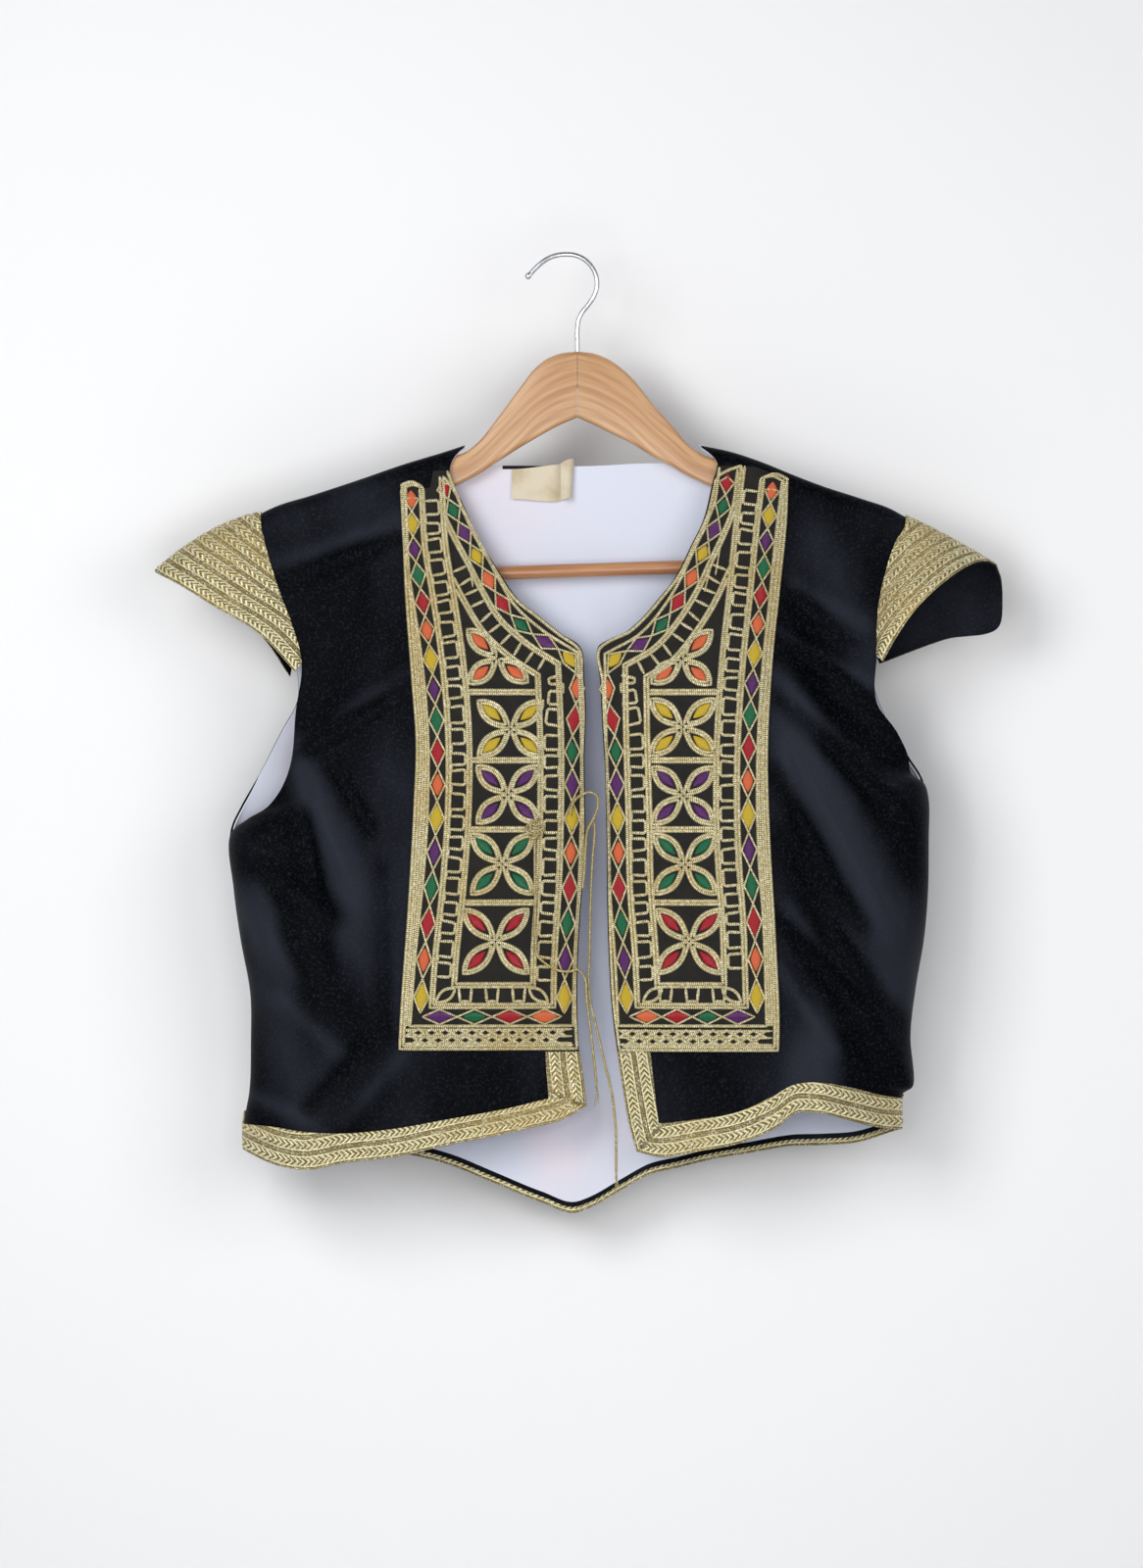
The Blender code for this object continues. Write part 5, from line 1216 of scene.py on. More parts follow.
class SatinPads(Gathered):
    """Padded satin lozenges of one panel, with a finish for each colour."""

    def __init__(self, side):
        super().__init__()
        self.side = side
        self.colours = []

    def sew(self, centre, along, across, colour):
        turns = np.linspace(0.0, 2 * math.pi, PAD_POINTS, endpoint=False)
        spread = 1.0 / (np.abs(np.cos(turns)) ** 1.25 + np.abs(np.sin(turns)) ** 1.25) ** 0.8
        rim = np.stack([np.cos(turns), np.sin(turns)], axis=1) * spread[:, None]
        reach = np.array([np.linalg.norm(along), np.linalg.norm(across)])
        points, places = [], []
        for size, height in PAD_RINGS:
            shape = rim * size
            flat = centre + shape[:, :1] * along + shape[:, 1:] * across
            lift = np.full(PAD_POINTS, PANEL_TOP + height * PAD_HEIGHT)
            points.append(surface(self.side, flat[:, 0], flat[:, 1], lift)[0])
            places.append(shape * reach)
        faces = ring_faces(len(PAD_RINGS), PAD_POINTS)
        self.take(np.concatenate(points), faces, np.concatenate(places))
        self.colours += [colour] * len(faces)

    def build(self, name, finishes):
        item = super().build(name, finishes[0])
        for finish in finishes[1:]:
            item.data.materials.append(finish)
        item.data.polygons.foreach_set("material_index", np.array(self.colours, dtype=np.int32))
        return item


def stone_places(length, count, start, end, growth):
    """Places of the lozenges along a track, their spacing growing evenly."""
    gaps = np.linspace(1.0, growth, count - 1)
    places = np.concatenate([[0.0], np.cumsum(gaps)])
    return start + places / places[-1] * (length - start - end)


def lay_chain(cords, pads, track, places, first_colour, margin):
    """Chain of lozenges between two crossing thin cords."""
    gaps = np.diff(places)
    nodes = np.concatenate([[places[0] - margin], (places[:-1] + places[1:]) / 2,
                            [places[-1] + margin]])
    spots = np.empty(2 * len(places) + 1)
    spots[0::2] = nodes
    spots[1::2] = places
    spots = np.clip(spots, 0.0, track.length)
    swing = np.zeros_like(spots)
    swing[1::2] = CHAIN_HALF * (-1.0) ** np.arange(len(places))
    for turn, lift in ((1.0, CORD_LIFT - 0.15), (-1.0, CORD_LIFT + 0.2)):
        cords.lay(track.at(spots, swing * turn), THIN_WIDE, THIN_HIGH, lift)
    for index, place in enumerate(places):
        gap = gaps[min(index, len(gaps) - 1)]
        size = 1.0 + 0.10 * math.sin(2.4 * index + first_colour)
        centre = track.at(place, 0.0)
        ahead = track.at(min(place + 1.0, track.length), 0.0)
        along = unit(ahead - track.at(max(place - 1.0, 0.0), 0.0))
        across = np.array([-along[1], along[0]])
        pads.sew(centre, along * min(gap * 0.36, PAD_LONG) * size, across * PAD_HALF * size,
                 (first_colour + index) % len(SATINS))


def lay_meander(cords, track, start, end, low, high):
    """Comb-like cord: a wide cell, a narrow gap, and so on, none quite alike."""
    place = start
    index = 0
    line = []
    while place < end - 8.0:
        cell = 9.4 + 1.5 * math.sin(1.7 * index + start)
        gap = 5.2 + 1.2 * math.sin(2.9 * index + 0.6)
        lean = 0.9 * math.sin(2.3 * index)
        after = min(place + cell, end)
        line += [(place, low), (place + lean, high - 1.4), (place + lean + 1.2, high),
                 (after - 1.2, high), (after, high - 1.4), (after + lean * 0.4, low)]
        place = after + gap
        index += 1
    spots = np.array(line)
    cords.lay(track.at(spots[:, 0], spots[:, 1]), MEANDER_WIDE, THIN_HIGH)


def lay_rungs(cords, track, start, end, low, high, step):
    """Straight rungs between two rails, as beside the neckline."""
    count = max(2, int(round((end - start) / step)))
    for index in range(count + 1):
        place = start + (end - start) * index / count
        lean = 1.3 * math.sin(2.1 * index + 0.4)
        cords.lay(track.at([place, place + lean], [low, high]), MEANDER_WIDE, THIN_HIGH)


def leaf(root, tip, half):
    """Outline of a petal, from its root round to its root."""
    root, tip = np.asarray(root, float), np.asarray(tip, float)
    along = tip - root
    across = np.array([-along[1], along[0]]) / np.linalg.norm(along)
    share = np.linspace(0.0, 1.0, 12)
    width = half * np.sin(math.pi * share ** 1.1) ** 0.8
    one = root + share[:, None] * along + width[:, None] * across
    other = root + share[:, None] * along - width[:, None] * across
    return np.concatenate([one, other[-2:0:-1]])


def lay_flower(cords, pads, flower, colour):
    centre = np.array([flower.x, flower.z])
    for turn_x, turn_z in flower.petals:
        tip = centre + np.array([turn_x * flower.reach_x, turn_z * flower.reach_z])
        along = unit(tip - centre)
        across = np.array([-along[1], along[0]])
        cords.loop(leaf(centre + along * 0.8, tip, PETAL_WIDE))
        cords.loop(leaf(centre + along * 4.2, tip - along * 3.0, PETAL_WIDE - 1.9))
        length = np.linalg.norm(tip - centre)
        middle = centre + along * (length * 0.58)
        pads.sew(middle, along * length * 0.27, across * PETAL_PAD, colour)


def panel_outline(side, top, outer):
    """Line round the panel, down its outer edge, along the bottom and up the front edge."""
    edge = [(s.inner_x + side.sign * 0.9, s.inner_z) for s in side.sections if s.inner_z < -152]
    edge[0] = (edge[0][0], outer[-1].z)
    rise = smooth_path(edge, 4.0)
    fall = smooth_path([pairs(top)[-1]] + pairs(outer), 6.0)
    return np.concatenate([fall, rise]), np.array(pairs(top)), len(fall)


def inside_loop(loop, points):
    inside = np.zeros(len(points), dtype=bool)
    for (x1, z1), (x2, z2) in zip(loop, np.roll(loop, -1, axis=0)):
        spans = (z1 > points[:, 1]) != (z2 > points[:, 1])
        if z1 != z2:
            crossing = x1 + (points[:, 1] - z1) * (x2 - x1) / (z2 - z1)
            inside ^= spans & (points[:, 0] < crossing)
    return inside


def make_ground(side, loop, finish):
    """Thin black ground of the panel."""
    x, z = np.meshgrid(np.arange(-120, 160, 4.0), np.arange(-556, -140, 4.0))
    spots = np.stack([x.ravel(), z.ravel()], axis=1)
    spots = spots[inside_loop(loop, spots)]
    near = np.linalg.norm(spots[:, None] - loop[None], axis=2).min(axis=1)
    points = np.concatenate([loop, spots[near > 2.0]])
    count = len(loop)
    edges = [(i, (i + 1) % count) for i in range(count)]
    flat, _, faces, _, _, _ = delaunay_2d_cdt(
        [Vector(p) for p in points.tolist()], edges, [], 0, 1e-4, False)
    flat = np.array([tuple(p) for p in flat])
    faces = np.array(faces)
    faces = faces[inside_loop(loop, flat[faces].mean(axis=1))]
    low, normals = surface(side, flat[:, 0], flat[:, 1], np.full(len(flat), PANEL_BACK))
    return add_mesh(
        "black_ground_" + side.name,
        np.concatenate([low + normals * (PANEL_TOP - PANEL_BACK), low]),
        closed_faces(faces, len(flat)), finish, np.concatenate([flat, flat]))


def run_on(before, end, distance):
    """Point that continues a line past its end."""
    return end + unit(np.asarray(end) - before) * distance


def read_across(line, levels):
    """Where a line lies from side to side at these levels."""
    order = np.argsort(line[:, 1])
    return np.interp(levels, line[order, 1], line[order, 0])


def cut_beyond(side, line, border, gap):
    """The part of a line that stays on the neck side of a border line."""
    limit = read_across(border, line[:, 1])
    return line[-side.sign * (line[:, 0] - limit) > gap]


def make_panel(side, top, outer, chain_outer, chain_inner, chain_neck, flowers, bars, finishes):
    black, gold, satins = finishes
    outline, top_line, fall_count = panel_outline(side, top, outer)
    loop = resample(np.concatenate([outline, top_line[:-1]]), 4.0)
    ground = make_ground(side, loop, black)
    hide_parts("embroidery_" + side.name)
    cords = LaidCords(side)
    pads = SatinPads(side)
    inward = -side.sign
    falling, rising = pairs(chain_outer), pairs(chain_inner) + pairs(chain_neck)
    corner = len(falling) + len(chain_inner)

    def rail(distance):
        line = offset_line(falling + rising, inward * distance)
        reach = TOP_REACH[0] + (FRAME_REACH if distance in FRAME_LINES else 0.0)
        line = np.concatenate([[run_on(line[1], line[0], reach)], line,
                               [run_on(line[-2], line[-1], TOP_REACH[1])]])
        fall = smooth_path(line[:len(falling) + 1], 4.0)
        rise = smooth_path(line[len(falling) + 1:corner + 1], 4.0)
        neck = smooth_path(line[corner:], 4.0)
        return fall, np.concatenate([rise, neck[1:]])

    cords.lay(offset_line(outline, inward * BORDER_INSETS[0]))
    cords.lay(offset_line(outline, inward * BORDER_INSETS[1])[:fall_count + 1])
    fall, rise = rail(-RAIL_OUTER)
    cords.lay(np.concatenate([fall, rise]))
    frame_fall = rail(FRAME_LINES[0])[0]
    for distance in RAIL_INNER:
        fall, rise = rail(distance)
        cords.lay(np.concatenate([fall, cut_beyond(side, rise, frame_fall, 1.0)]))
    for distance in FRAME_LINES:
        fall, rise = rail(distance)
        cords.lay(np.concatenate([fall, cut_beyond(side, rise, frame_fall, 2.5)]))
    lay_top_ends(cords, side, outline, rail)
    lay_filler(cords, side, outline, rail(-RAIL_OUTER)[0])
    lay_net(cords, chain_outer[-1].x, chain_inner[0].x, outline)

    fall_track = Track(side, falling)
    low_track = Track(side, [falling[-1], rising[0]])
    rise_track = Track(side, rising)
    for track, chain in zip((fall_track, low_track, rise_track), CHAINS):
        stones = stone_places(track.length, chain.count, chain.start, chain.end, chain.growth)
        lay_chain(cords, pads, track, stones, chain.first_colour, chain.margin)

    low, high = RAIL_INNER[1] + 0.8, FRAME_LINES[0] - 1.7
    bottom_turn = 25.0
    neck_start = along_line(np.array(pairs(chain_inner)))[-1] + 12.0
    lay_meander(cords, fall_track, 3.0, fall_track.length - bottom_turn, low, high)
    lay_meander(cords, rise_track, bottom_turn, neck_start - 16.0, low, high)
    lay_rungs(cords, rise_track, neck_start + 4.0, neck_start + NECK_LADDER, low, high + 0.6, 9.2)
    for index in range(3):
        place = low_track.length / 2 + (index - 1) * 18.5 - 4.5
        spots = np.array([(place, high + 1), (place + 1.0, low + 1.2),
                          (place + 8.0, low + 1.2), (place + 9.0, high + 1)])
        cords.lay(low_track.at(spots[:, 0], spots[:, 1]), MEANDER_WIDE, THIN_HIGH)
    for place, turn in ((11.0, 1.0), (low_track.length - 11.0, -1.0)):
        root = low_track.at(place, low + 0.5)
        tip = low_track.at(place + turn * 13.0, high + 0.5)
        cords.loop(leaf(root, tip, 3.6), wide=MEANDER_WIDE, high=THIN_HIGH)

    frame_rise = cut_beyond(side, rail(FRAME_LINES[1])[1], frame_fall, 2.5)
    for level in bars:
        start = float(read_across(rail(FRAME_LINES[1])[0], level))
        end = float(read_across(frame_rise, level))
        for shift in (-BAR_HALF, BAR_HALF):
            cords.lay([(start, level + shift), (end, level + shift)])
    for index, flower in enumerate(flowers):
        lay_flower(cords, pads, flower, index)
    cords.build("gold_cords_" + side.name, gold)
    pads.build("satin_" + side.name, satins)


def lay_top_ends(cords, side, outline, rail):
    """Arches that close the cords at the panel's top, and the slanted pair between the ladders."""
    inner = cut_beyond(side, rail(RAIL_INNER[0])[1], rail(FRAME_LINES[0])[0], 1.0)
    fall = rail(-RAIL_OUTER)[0]
    across = rail(RAIL_INNER[1])[0]
    frame = rail(FRAME_LINES[1])[0]
    neck_end = outline[-1] + (frame[0] - outline[-1]) * 0.08
    arches = ((outline[0], across[0], 3.2), (fall[0], across[0], 2.4), (neck_end, frame[0], 1.0))
    for start, end, arch in arches:
        start, end = np.asarray(start, float), np.asarray(end, float)
        middle = (start + end) / 2 + np.array([0.0, arch])
        cords.lay(smooth_path([start, middle, end], 1.5))
    for share, reach in ((0.32, 0.78), (0.52, 0.9)):
        start = inner[int(len(inner) * 0.93)]
        low = frame[np.argmin(np.abs(frame[:, 1] - APEX_LEVEL))]
        begin = start + (inner[int(len(inner) * 0.8)] - start) * share
        finish = low + (inner[int(len(inner) * 0.72)] - low) * share
        cords.lay([begin, begin + (finish - begin) * reach], THIN_WIDE, THIN_HIGH)


def lay_filler(cords, side, outline, rail):
    """Flat band of gold that fills the room between the border and the outer rail."""
    levels = np.linspace(rail[0, 1], rail[-1, 1], 60)
    fall = outline[: np.argmin(outline[:, 1]) + 1]
    border = read_across(fall, levels) - side.sign * BORDER_INSETS[-1]
    inner = read_across(rail, levels)
    room = np.abs(border - inner)
    for share in (0.33, 0.67):
        x = border + (inner - border) * share
        cords.lay_plain(np.stack([x, levels], axis=1), np.clip(room / 5.2, 0.5, CORD_WIDE * 1.1))


def lay_net(cords, outer_x, inner_x, outline):
    """Two rows of crossing cords under the lowest lozenges."""
    bottom = outline[:, 1].min()
    reach = (10.5, 5.6) if outer_x < inner_x else (5.6, 10.5)
    left = min(outer_x, inner_x) - reach[0]
    right = max(outer_x, inner_x) + reach[1]
    for level, shift in ((bottom + 12.4, 0.0), (bottom + 7.2, 4.65)):
        for start in (0.0, 9.3):
            count = int((right - left - shift) / 9.3)
            x = left + shift + 9.3 * np.arange(count + 1)
            turn = (-1.0) ** (np.arange(count + 1) + (start > 0))
            cords.lay(np.stack([x, level + 2.6 * turn], axis=1))
    for level in (bottom + 14.6, bottom + 9.8, bottom + 5.0):
        cords.lay([(left, level), (right, level)], CORD_WIDE * 0.8, THIN_HIGH, CORD_LIFT - 0.3)


def make_knot(finish):
    """Star-shaped knot of the tie cord on the left panel."""
    turns = np.linspace(0.0, 2 * math.pi, 90)
    reach = KNOT_REACH * (0.42 + 0.58 * np.abs(np.sin(2.5 * turns)))
    x = KNOT_PLACE.x + reach * np.sin(turns * 2.0)
    z = KNOT_PLACE.z + reach * np.cos(turns * 2.0)
    lift = 3.6 + 1.1 * np.sin(turns * 5.0)
    path = before_left_front(x, z, lift)
    points, faces, places = tube_mesh(path, KNOT_CORD, KNOT_CORD, TIE_UP, 8)
    return add_mesh("gold_knot", points, faces, finish, places)


def make_fray(name, end, finish):
    """Loose threads at the cut end of a tie cord."""
    threads = Gathered()
    for strand in range(FRAY_THREADS):
        turn = 2.4 * strand
        reach = 11.0 + 7.0 * math.sin(1.9 * strand + 0.5)
        line = [end + np.array([0.25 * math.sin(turn), 0.25 * math.cos(turn), 0.5])]
        for share in (0.35, 0.7, 1.0):
            swing = np.array([1.9 * math.sin(turn + share), 0.7 * math.cos(turn) * share, 0.0])
            line.append(end + swing * share + np.array([0.0, 0.0, -reach * share]))
        threads.take(*tube_mesh(smooth_path(line, 1.2), FRAY_RADIUS, FRAY_RADIUS, TIE_UP, 5))
    return threads.build(name, finish)


class Finish:
    """A material and short calls for the nodes that make it."""

    def __init__(self, name, roughness, metallic=0.0):
        self.material = bpy.data.materials.new(name)
        self.material.use_nodes = True
        self.tree = self.material.node_tree
        self.shader = self.tree.nodes["Principled BSDF"]
        self.shader.inputs["Roughness"].default_value = roughness
        self.shader.inputs["Metallic"].default_value = metallic

    def link(self, value, socket):
        if isinstance(value, bpy.types.NodeSocket):
            self.tree.links.new(value, socket)
        else:
            socket.default_value = value

    def sum(self, kind, one, other=0.0):
        made = self.tree.nodes.new("ShaderNodeMath")
        made.operation = kind
        self.link(one, made.inputs[0])
        self.link(other, made.inputs[1])
        return made.outputs[0]

    def wave(self, value, pitch, phase=0.0):
        """Even wave between 0 and 1 with the given pitch."""
        turned = self.sum("MULTIPLY_ADD", value, 2 * math.pi / pitch)
        self.link(phase, turned.node.inputs[2])
        half = self.sum("MULTIPLY_ADD", self.sum("SINE", turned), 0.5)
        half.node.inputs[2].default_value = 0.5
        return half

    def noise(self, scale, detail=2.0, stretch=None, on_places=False):
        """Noise over the object's own metres or the places, stretched along an axis where asked."""
        where = self.tree.nodes.new("ShaderNodeTexCoord").outputs["UV" if on_places else "Object"]
        if stretch:
            mapping = self.tree.nodes.new("ShaderNodeMapping")
            self.link(where, mapping.inputs["Vector"])
            mapping.inputs["Scale"].default_value = stretch
            where = mapping.outputs["Vector"]
        made = self.tree.nodes.new("ShaderNodeTexNoise")
        self.link(where, made.inputs["Vector"])
        made.inputs["Scale"].default_value = scale
        made.inputs["Detail"].default_value = detail
        return made.outputs["Fac"]

    def grains(self, scale):
        """One random grey for each small grain."""
        where = self.tree.nodes.new("ShaderNodeTexCoord").outputs["Object"]
        made = self.tree.nodes.new("ShaderNodeTexVoronoi")
        self.link(where, made.inputs["Vector"])
        made.inputs["Scale"].default_value = scale
        parts = self.tree.nodes.new("ShaderNodeSeparateColor")
        self.link(made.outputs["Color"], parts.inputs[0])
        return parts.outputs[0]

    def across(self, value, low, high):
        """Value spread so that low becomes 0 and high becomes 1."""
        made = self.tree.nodes.new("ShaderNodeMapRange")
        made.interpolation_type = "SMOOTHSTEP"
        self.link(value, made.inputs["Value"])
        made.inputs["From Min"].default_value = low
        made.inputs["From Max"].default_value = high
        return made.outputs["Result"]

    def blend(self, share, low, high):
        made = self.tree.nodes.new("ShaderNodeMix")
        made.data_type = "RGBA"
        self.link(share, made.inputs["Factor"])
        for colour, socket in ((low, made.inputs[6]), (high, made.inputs[7])):
            self.link(colour if isinstance(colour, bpy.types.NodeSocket) else (*colour, 1), socket)
        return made.outputs[2]

    def lerp(self, share, low, high):
        made = self.tree.nodes.new("ShaderNodeMix")
        self.link(share, made.inputs["Factor"])
        self.link(low, made.inputs[2])
        self.link(high, made.inputs[3])
        return made.outputs[0]

    def places(self, layer="places"):
        """Millimetres along and across, from the texture coordinates."""
        made = self.tree.nodes.new("ShaderNodeUVMap")
        made.uv_map = layer
        parts = self.tree.nodes.new("ShaderNodeSeparateXYZ")
        self.link(made.outputs[0], parts.inputs[0])
        return parts.outputs[0], parts.outputs[1]

    def colour(self, value):
        self.link(value if isinstance(value, bpy.types.NodeSocket) else (*value, 1),
                  self.shader.inputs["Base Color"])

    def rough(self, value):
        self.link(value, self.shader.inputs["Roughness"])

    def bump(self, height, distance, strength=1.0, under=None):
        made = self.tree.nodes.new("ShaderNodeBump")
        made.inputs["Distance"].default_value = distance
        made.inputs["Strength"].default_value = strength
        self.link(height, made.inputs["Height"])
        if under:
            self.link(under, made.inputs["Normal"])
        self.link(made.outputs[0], self.shader.inputs["Normal"])
        return made.outputs[0]

    def sheen(self, weight, roughness, tint):
        self.shader.inputs["Sheen Weight"].default_value = weight
        self.shader.inputs["Sheen Roughness"].default_value = roughness
        self.shader.inputs["Sheen Tint"].default_value = (*tint, 1)


def velvet_finish():
    """Black velvet with painted sheen: its colour is painted lighter on the fold crests and in soft
    patches, and darker in the troughs between folds.
    """
    finish = Finish("velvet", 0.55)
    finish.shader.inputs["Specular IOR Level"].default_value = 0.05
    finish.shader.inputs["Specular Tint"].default_value = (0.75, 0.85, 1.0, 1.0)
    finish.sheen(0.035, 0.35, (0.62, 0.74, 0.95))
    # painted fold light and shade, read from the fold map
    fold = finish.places("nap")[0]
    # painted sheen: large soft noise patches plus the painted fold light
    painted_sheen_and_fold_light = finish.sum("MULTIPLY_ADD", finish.noise(13.0, 5.0, (1.0, 1.0, 0.6)), 3.2)
    finish.link(fold, painted_sheen_and_fold_light.node.inputs[2])
    fine = finish.across(finish.noise(560.0, 3.0), 0.46, 0.80)
    # from the near-black shaded velvet to the lighter painted sheen colour
    mixed = finish.blend(finish.across(painted_sheen_and_fold_light, 1.15, 3.2),
                         (0.0002, 0.0003, 0.0007), (0.0190, 0.0215, 0.0300))
    finish.colour(finish.blend(finish.sum("MULTIPLY", fine, 0.35), mixed, (0.0300, 0.0330, 0.0430)))
    pile = finish.noise(1500.0, 2.0)
    finish.bump(pile, 0.0004, 0.5)
    return finish.material


def lining_finish():
    finish = Finish("lining", 0.82)
    finish.sheen(0.12, 0.5, (0.9, 0.92, 1.0))
    along, across = finish.places()
    warp = finish.wave(along, 0.9)
    weft = finish.wave(across, 0.9)
    blush = finish.across(finish.noise(9.0, 3.0), 0.5, 0.75)
    finish.colour(finish.blend(blush, (0.635, 0.66, 0.755), (0.70, 0.645, 0.71)))
    weave = finish.sum("MULTIPLY", warp, weft)
    creased = finish.bump(finish.noise(38.0, 4.0), 0.0011, 0.5)
    finish.bump(weave, 0.00012, 0.5, creased)
    return finish.material


def gold_threads(finish, height, dark, light, painted_glint):
    """Colour, roughness and relief of metal thread over a height from 0 to 1, the colour painted darker
    in the low parts and lighter on the high parts, with painted glints and painted dark grains.
    """
    grain = finish.grains(1150.0)
    # painted shade in the low parts of the thread relief and painted light on its high parts
    painted_relief_light = finish.blend(finish.across(height, 0.12, 0.75), dark, light)
    # painted glints on some random grains and painted shade on others
    painted_glint_share = finish.across(grain, 0.72, 0.9)
    painted_shade_grains = finish.across(grain, 0.28, 0.1)
    worn = finish.across(finish.noise(14.0, 3.0), 0.45, 0.7)
    warm = finish.blend(finish.sum("MULTIPLY", worn, 0.5), painted_relief_light, (0.50, 0.36, 0.12))
    # painted shade grains pulled toward the dark colour, then painted glint grains toward the glint
    # colour
    deep = finish.blend(finish.sum("MULTIPLY", painted_shade_grains, 0.55), warm, dark)
    finish.colour(finish.blend(finish.sum("MULTIPLY", painted_glint_share, 0.45), deep, painted_glint))
    finish.rough(finish.lerp(grain, 0.5, 0.36))
    total = finish.sum("MULTIPLY_ADD", grain, 0.3)
    finish.link(height, total.node.inputs[2])
    return total


def braid_finish():
    """Flat braid: parallel cords along its edges and a plait along its middle."""
    finish = Finish("braid", 0.45, 0.5)
    along, across = finish.places()
    row = finish.sum("FRACT", finish.sum("DIVIDE", across, BRAID_ROW))
    twist = finish.sum("MULTIPLY", across, 1.6)
    cords = finish.sum("MULTIPLY", finish.wave(across, BRAID_ROW / 5, math.pi / 2),
                       finish.lerp(finish.wave(along, 2.4, twist), 0.7, 1.0))
    middle = finish.sum("ABSOLUTE", finish.sum("SUBTRACT", row, 0.5))
    chevron = finish.wave(along, 3.8, finish.sum("MULTIPLY", middle, 22.0))
    inside = finish.across(middle, 0.27, 0.22)
    groove = finish.across(middle, 0.5, 0.44)
    height = finish.sum("MULTIPLY", finish.lerp(inside, cords, chevron), groove)
    # painted shade colour for the grooves, painted light colour for the crests, then the painted glint
    # colour
    total = gold_threads(finish, height, (0.15, 0.105, 0.03), (0.88, 0.80, 0.45), (1.0, 0.97, 0.78))
    finish.bump(total, 0.0008, 0.9)
    return finish.material


def cord_finish(name, dark, light, painted_glint):
    """Round cord of twisted metal thread."""
    finish = Finish(name, 0.4, 0.55)
    along, around = finish.places()
    height = finish.wave(along, 1.35, finish.sum("MULTIPLY", around, 2 * math.pi))
    # painted shade in the twist's grooves, painted light on its crests and painted glints
    total = gold_threads(finish, height, dark, light, painted_glint)
    finish.bump(total, 0.00035, 0.85)
    return finish.material


def satin_finish(name, colour):
    finish = Finish("satin_" + name, 0.34)
    finish.sheen(0.25, 0.3, (1.0, 1.0, 1.0))
    finish.shader.inputs["Anisotropic"].default_value = 0.5
    along = finish.places()[0]
    threads = finish.wave(along, 0.55, finish.sum("MULTIPLY", finish.noise(500.0), 3.0))
    # painted shade between the thread lines: the colour drops to under half in the grooves of the
    # relief's wave
    dark = tuple(part * 0.45 for part in colour)
    finish.colour(finish.blend(threads, dark, colour))
    finish.bump(threads, 0.00022, 0.8)
    return finish.material


def ground_finish():
    finish = Finish("black_ground", 0.7)
    finish.shader.inputs["Specular IOR Level"].default_value = 0.2
    finish.sheen(0.12, 0.4, (0.5, 0.5, 0.5))
    along, across = finish.places()
    finish.colour(finish.blend(finish.noise(120.0), (0.004, 0.004, 0.0035), (0.018, 0.016, 0.012)))
    finish.bump(finish.sum("MULTIPLY", finish.wave(along, 0.7), finish.wave(across, 0.7)), 0.0002, 0.6)
    return finish.material


def wood_finish(name, light, dark, roughness):
    """Varnished wood with its grain along the piece."""
    finish = Finish(name, roughness)
    finish.shader.inputs["Coat Weight"].default_value = 0.35
    finish.shader.inputs["Coat Roughness"].default_value = 0.22
    grain = finish.noise(0.22, 5.0, (0.06, 1.0, 1.0), True)
    streak = finish.noise(1.1, 3.0, (0.035, 1.0, 1.0), True)
    figure = finish.across(grain, 0.36, 0.66)
    fine = finish.sum("MULTIPLY", finish.across(streak, 0.48, 0.72), 0.6)
    mixed = finish.blend(figure, light, dark)
    finish.colour(finish.blend(fine, mixed, dark))
    finish.bump(streak, 0.00008, 0.5)
    return finish.material


def metal_finish():
    finish = Finish("wire", 0.24, 1.0)
    drawn = finish.noise(900.0, 2.0, (1.0, 1.0, 0.2))
    finish.colour(finish.blend(drawn, (0.50, 0.51, 0.53), (0.74, 0.75, 0.77)))
    finish.rough(finish.lerp(drawn, 0.16, 0.34))
    finish.bump(drawn, 0.00002, 0.4)
    return finish.material


def label_finish():
    finish = Finish("label", 0.85)
    along, across = finish.places()
    weave = finish.sum("MULTIPLY", finish.wave(along, 0.6), finish.wave(across, 0.6))
    aged = finish.across(finish.noise(60.0, 4.0), 0.4, 0.7)
    finish.colour(finish.blend(aged, (0.66, 0.585, 0.44), (0.52, 0.43, 0.28)))
    finish.bump(weave, 0.0002, 0.6)
    return finish.material


def stage_finish():
    """Paper that is seen from its front only, so that a view from behind shows the object."""
    finish = Finish("stage_paper", 0.95)
    finish.shader.inputs["Specular IOR Level"].default_value = 0.1
    finish.colour(STAGE_GREY)
    finish.bump(finish.noise(8.0), 0.0001, 0.1)
    nodes = finish.tree.nodes
    mixed = nodes.new("ShaderNodeMixShader")
    finish.link(nodes.new("ShaderNodeNewGeometry").outputs["Backfacing"], mixed.inputs[0])
    finish.link(finish.shader.outputs[0], mixed.inputs[1])
    finish.link(nodes.new("ShaderNodeBsdfTransparent").outputs[0], mixed.inputs[2])
    finish.link(mixed.outputs[0], nodes["Material Output"].inputs["Surface"])
    return finish.material


def make_camera():
    data = bpy.data.cameras.new("camera")
    data.lens = LENS
    data.sensor_width = SENSOR
    data.clip_end = 50.0
    camera = bpy.data.objects.new("camera", data)
    distance = VIEW_HEIGHT * LENS / SENSOR
    camera.location = (VIEW_CENTRE[0], -distance, VIEW_CENTRE[1])
    camera.rotation_euler = (math.pi / 2, 0, 0)
    bpy.context.scene.collection.objects.link(camera)
    bpy.context.scene.camera = camera


def add_light(name, place, target, size, power):
    data = bpy.data.lights.new(name, "AREA")
    data.energy = power
    data.size = size
    item = bpy.data.objects.new(name, data)
    item.location = place
    direction = Vector(target) - Vector(place)
    item.rotation_euler = direction.to_track_quat("-Z", "Y").to_euler()
    item.visible_camera = False
    bpy.context.scene.collection.objects.link(item)


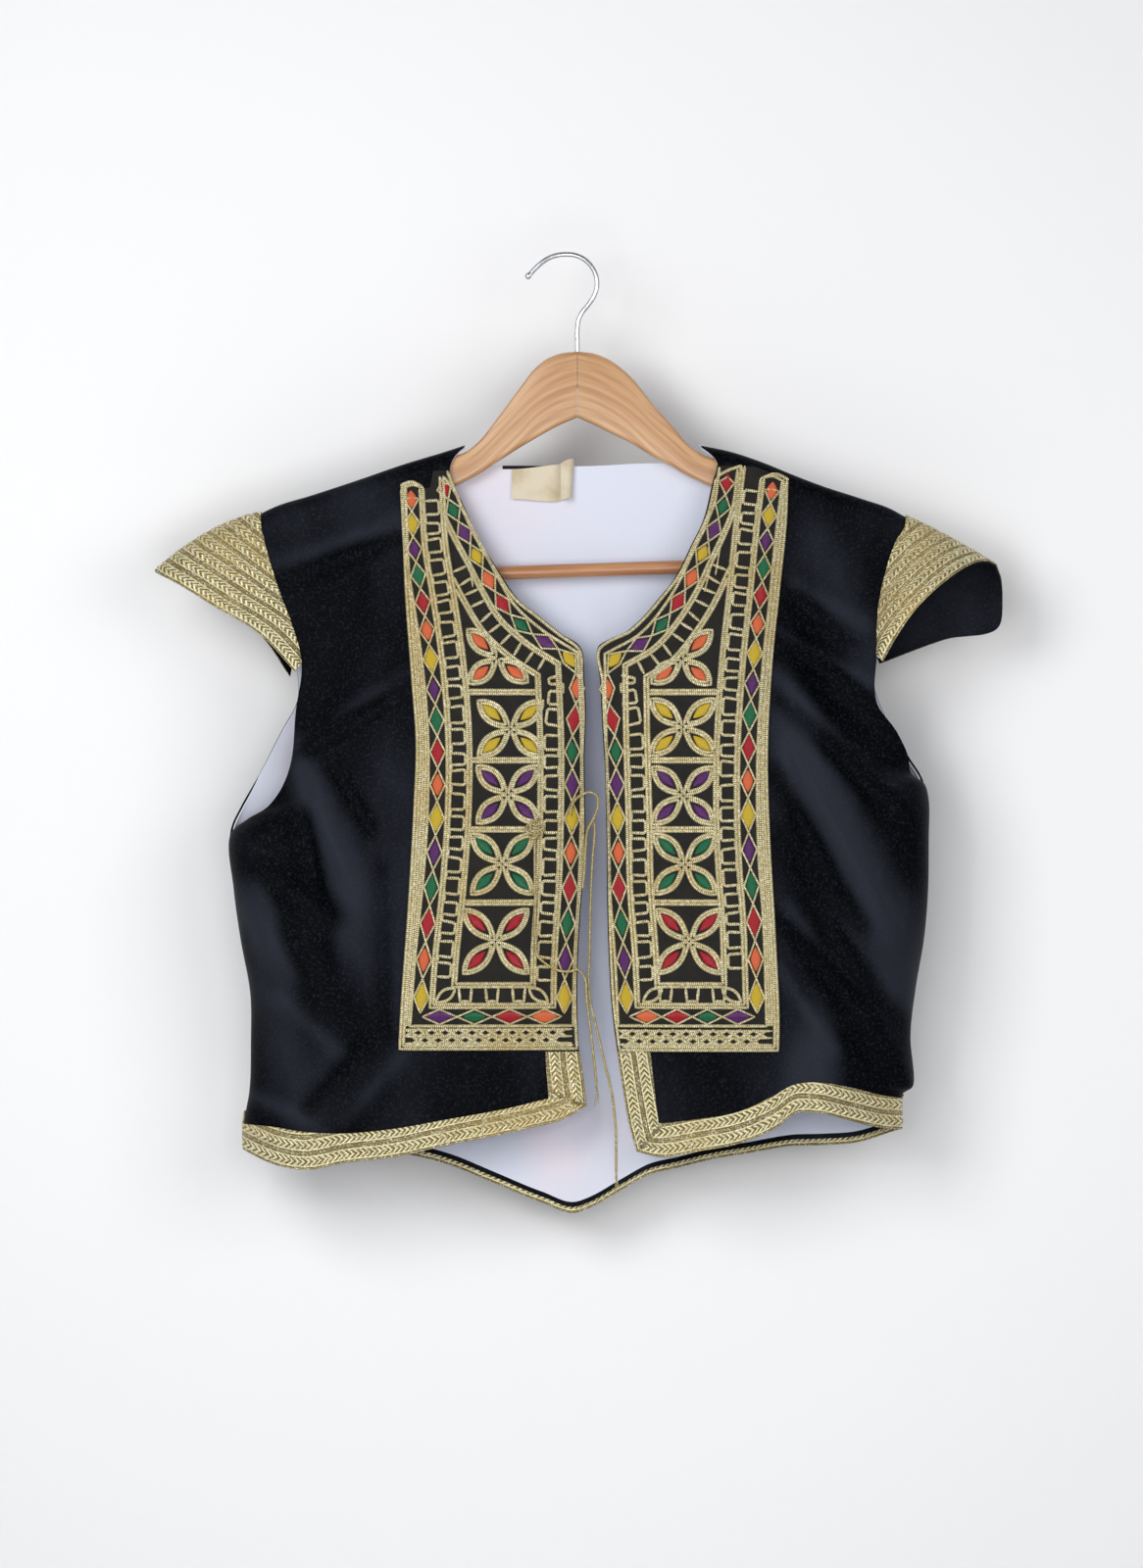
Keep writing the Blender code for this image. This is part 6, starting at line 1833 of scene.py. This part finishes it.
def add_stage():
    grey = stage_finish()
    bpy.ops.mesh.primitive_plane_add(size=8, location=(0, 0, FLOOR_LEVEL))
    floor = bpy.context.object
    floor.name = "floor"
    floor.data.materials.append(grey)
    bpy.ops.mesh.primitive_plane_add(
        size=8, location=(0, BACKDROP_Y, 0), rotation=(math.pi / 2, 0, 0))
    backdrop = bpy.context.object
    backdrop.name = "backdrop"
    backdrop.data.materials.append(grey)


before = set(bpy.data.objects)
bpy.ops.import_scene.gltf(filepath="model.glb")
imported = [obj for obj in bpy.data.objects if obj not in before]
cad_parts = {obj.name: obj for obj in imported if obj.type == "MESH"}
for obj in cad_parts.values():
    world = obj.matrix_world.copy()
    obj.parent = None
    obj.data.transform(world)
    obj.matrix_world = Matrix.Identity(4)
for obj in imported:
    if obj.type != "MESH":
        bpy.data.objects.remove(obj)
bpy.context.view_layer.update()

velvet = velvet_finish()
lining = lining_finish()
braid = braid_finish()
arm_wood = wood_finish("arm_wood", (0.55, 0.32, 0.155), (0.40, 0.20, 0.082), 0.38)
bar_wood = wood_finish("bar_wood", (0.50, 0.24, 0.10), (0.34, 0.14, 0.055), 0.34)
metal = metal_finish()
label_cloth = label_finish()

left_grid, left_marks = make_front(LEFT, velvet, lining, braid)
right_grid, right_marks = make_front(RIGHT, velvet, lining, braid)
body_back, back_marks = make_back(velvet, lining, braid)
left_low = left_marks[len(FRONT_HEM_SHARES) + LEFT_NOTCH_ROW]
right_low = right_marks[len(FRONT_HEM_SHARES) + RIGHT_NOTCH_ROW]
back_low = back_marks[len(BACK_HEM_LEVELS) + BACK_NOTCH_ROW]
make_sleeve(LEFT, left_grid[left_low:, -1], body_back[back_low + LEFT_SLEEVE_RISE:, 0],
            LEFT_SLEEVE_FRONT, LEFT_SLEEVE_BACK, LEFT_SLEEVE_CROWN, velvet, braid)
make_sleeve(RIGHT, right_grid[right_low:, -1], body_back[back_low:, -1],
            RIGHT_SLEEVE_FRONT, RIGHT_SLEEVE_BACK, RIGHT_SLEEVE_CROWN, velvet, braid)
# cord colours: painted shade in the grooves, painted light on the crests, then painted glints
gold = cord_finish("gold_cord", (0.27, 0.21, 0.08), (0.84, 0.765, 0.47), (1.0, 0.97, 0.80))
tie_gold = cord_finish("tie_cord", (0.22, 0.16, 0.05), (0.66, 0.56, 0.28), (0.95, 0.88, 0.6))
black = ground_finish()
satins = [satin_finish(name, SATIN_COLOURS[name]) for name in SATINS]
make_panel(LEFT, LEFT_PANEL_TOP, LEFT_PANEL_OUTER, LEFT_CHAIN_OUTER, LEFT_CHAIN_INNER,
           LEFT_CHAIN_NECK, LEFT_FLOWERS, BAR_LEVELS, (black, gold, satins))
make_panel(RIGHT, RIGHT_PANEL_TOP, RIGHT_PANEL_OUTER, RIGHT_CHAIN_OUTER, RIGHT_CHAIN_INNER,
           RIGHT_CHAIN_NECK, RIGHT_FLOWERS, BAR_LEVELS, (black, gold, satins))
make_hanger(arm_wood, bar_wood, metal)
make_label(label_cloth)
knot = make_knot(tie_gold)
for cord_name, cord_rows in (("tie_tail", TIE_TAIL), ("tie_loop", TIE_LOOP), ("tie_strand", TIE_STRAND)):
    cord, path = make_cord(cord_name, cord_rows, tie_gold)
    if cord_name != "tie_loop":
        make_fray("gold_fray_" + cord_name, path[-1], tie_gold)

make_camera()
add_stage()
for light in LIGHTS:
    add_light(*light)
world = bpy.data.worlds.new("world")
world.use_nodes = True
background = world.node_tree.nodes["Background"]
background.inputs["Color"].default_value = WORLD_COLOUR
background.inputs["Strength"].default_value = WORLD_STRENGTH
bpy.context.scene.world = world
bpy.context.scene.view_settings.view_transform = "Standard"
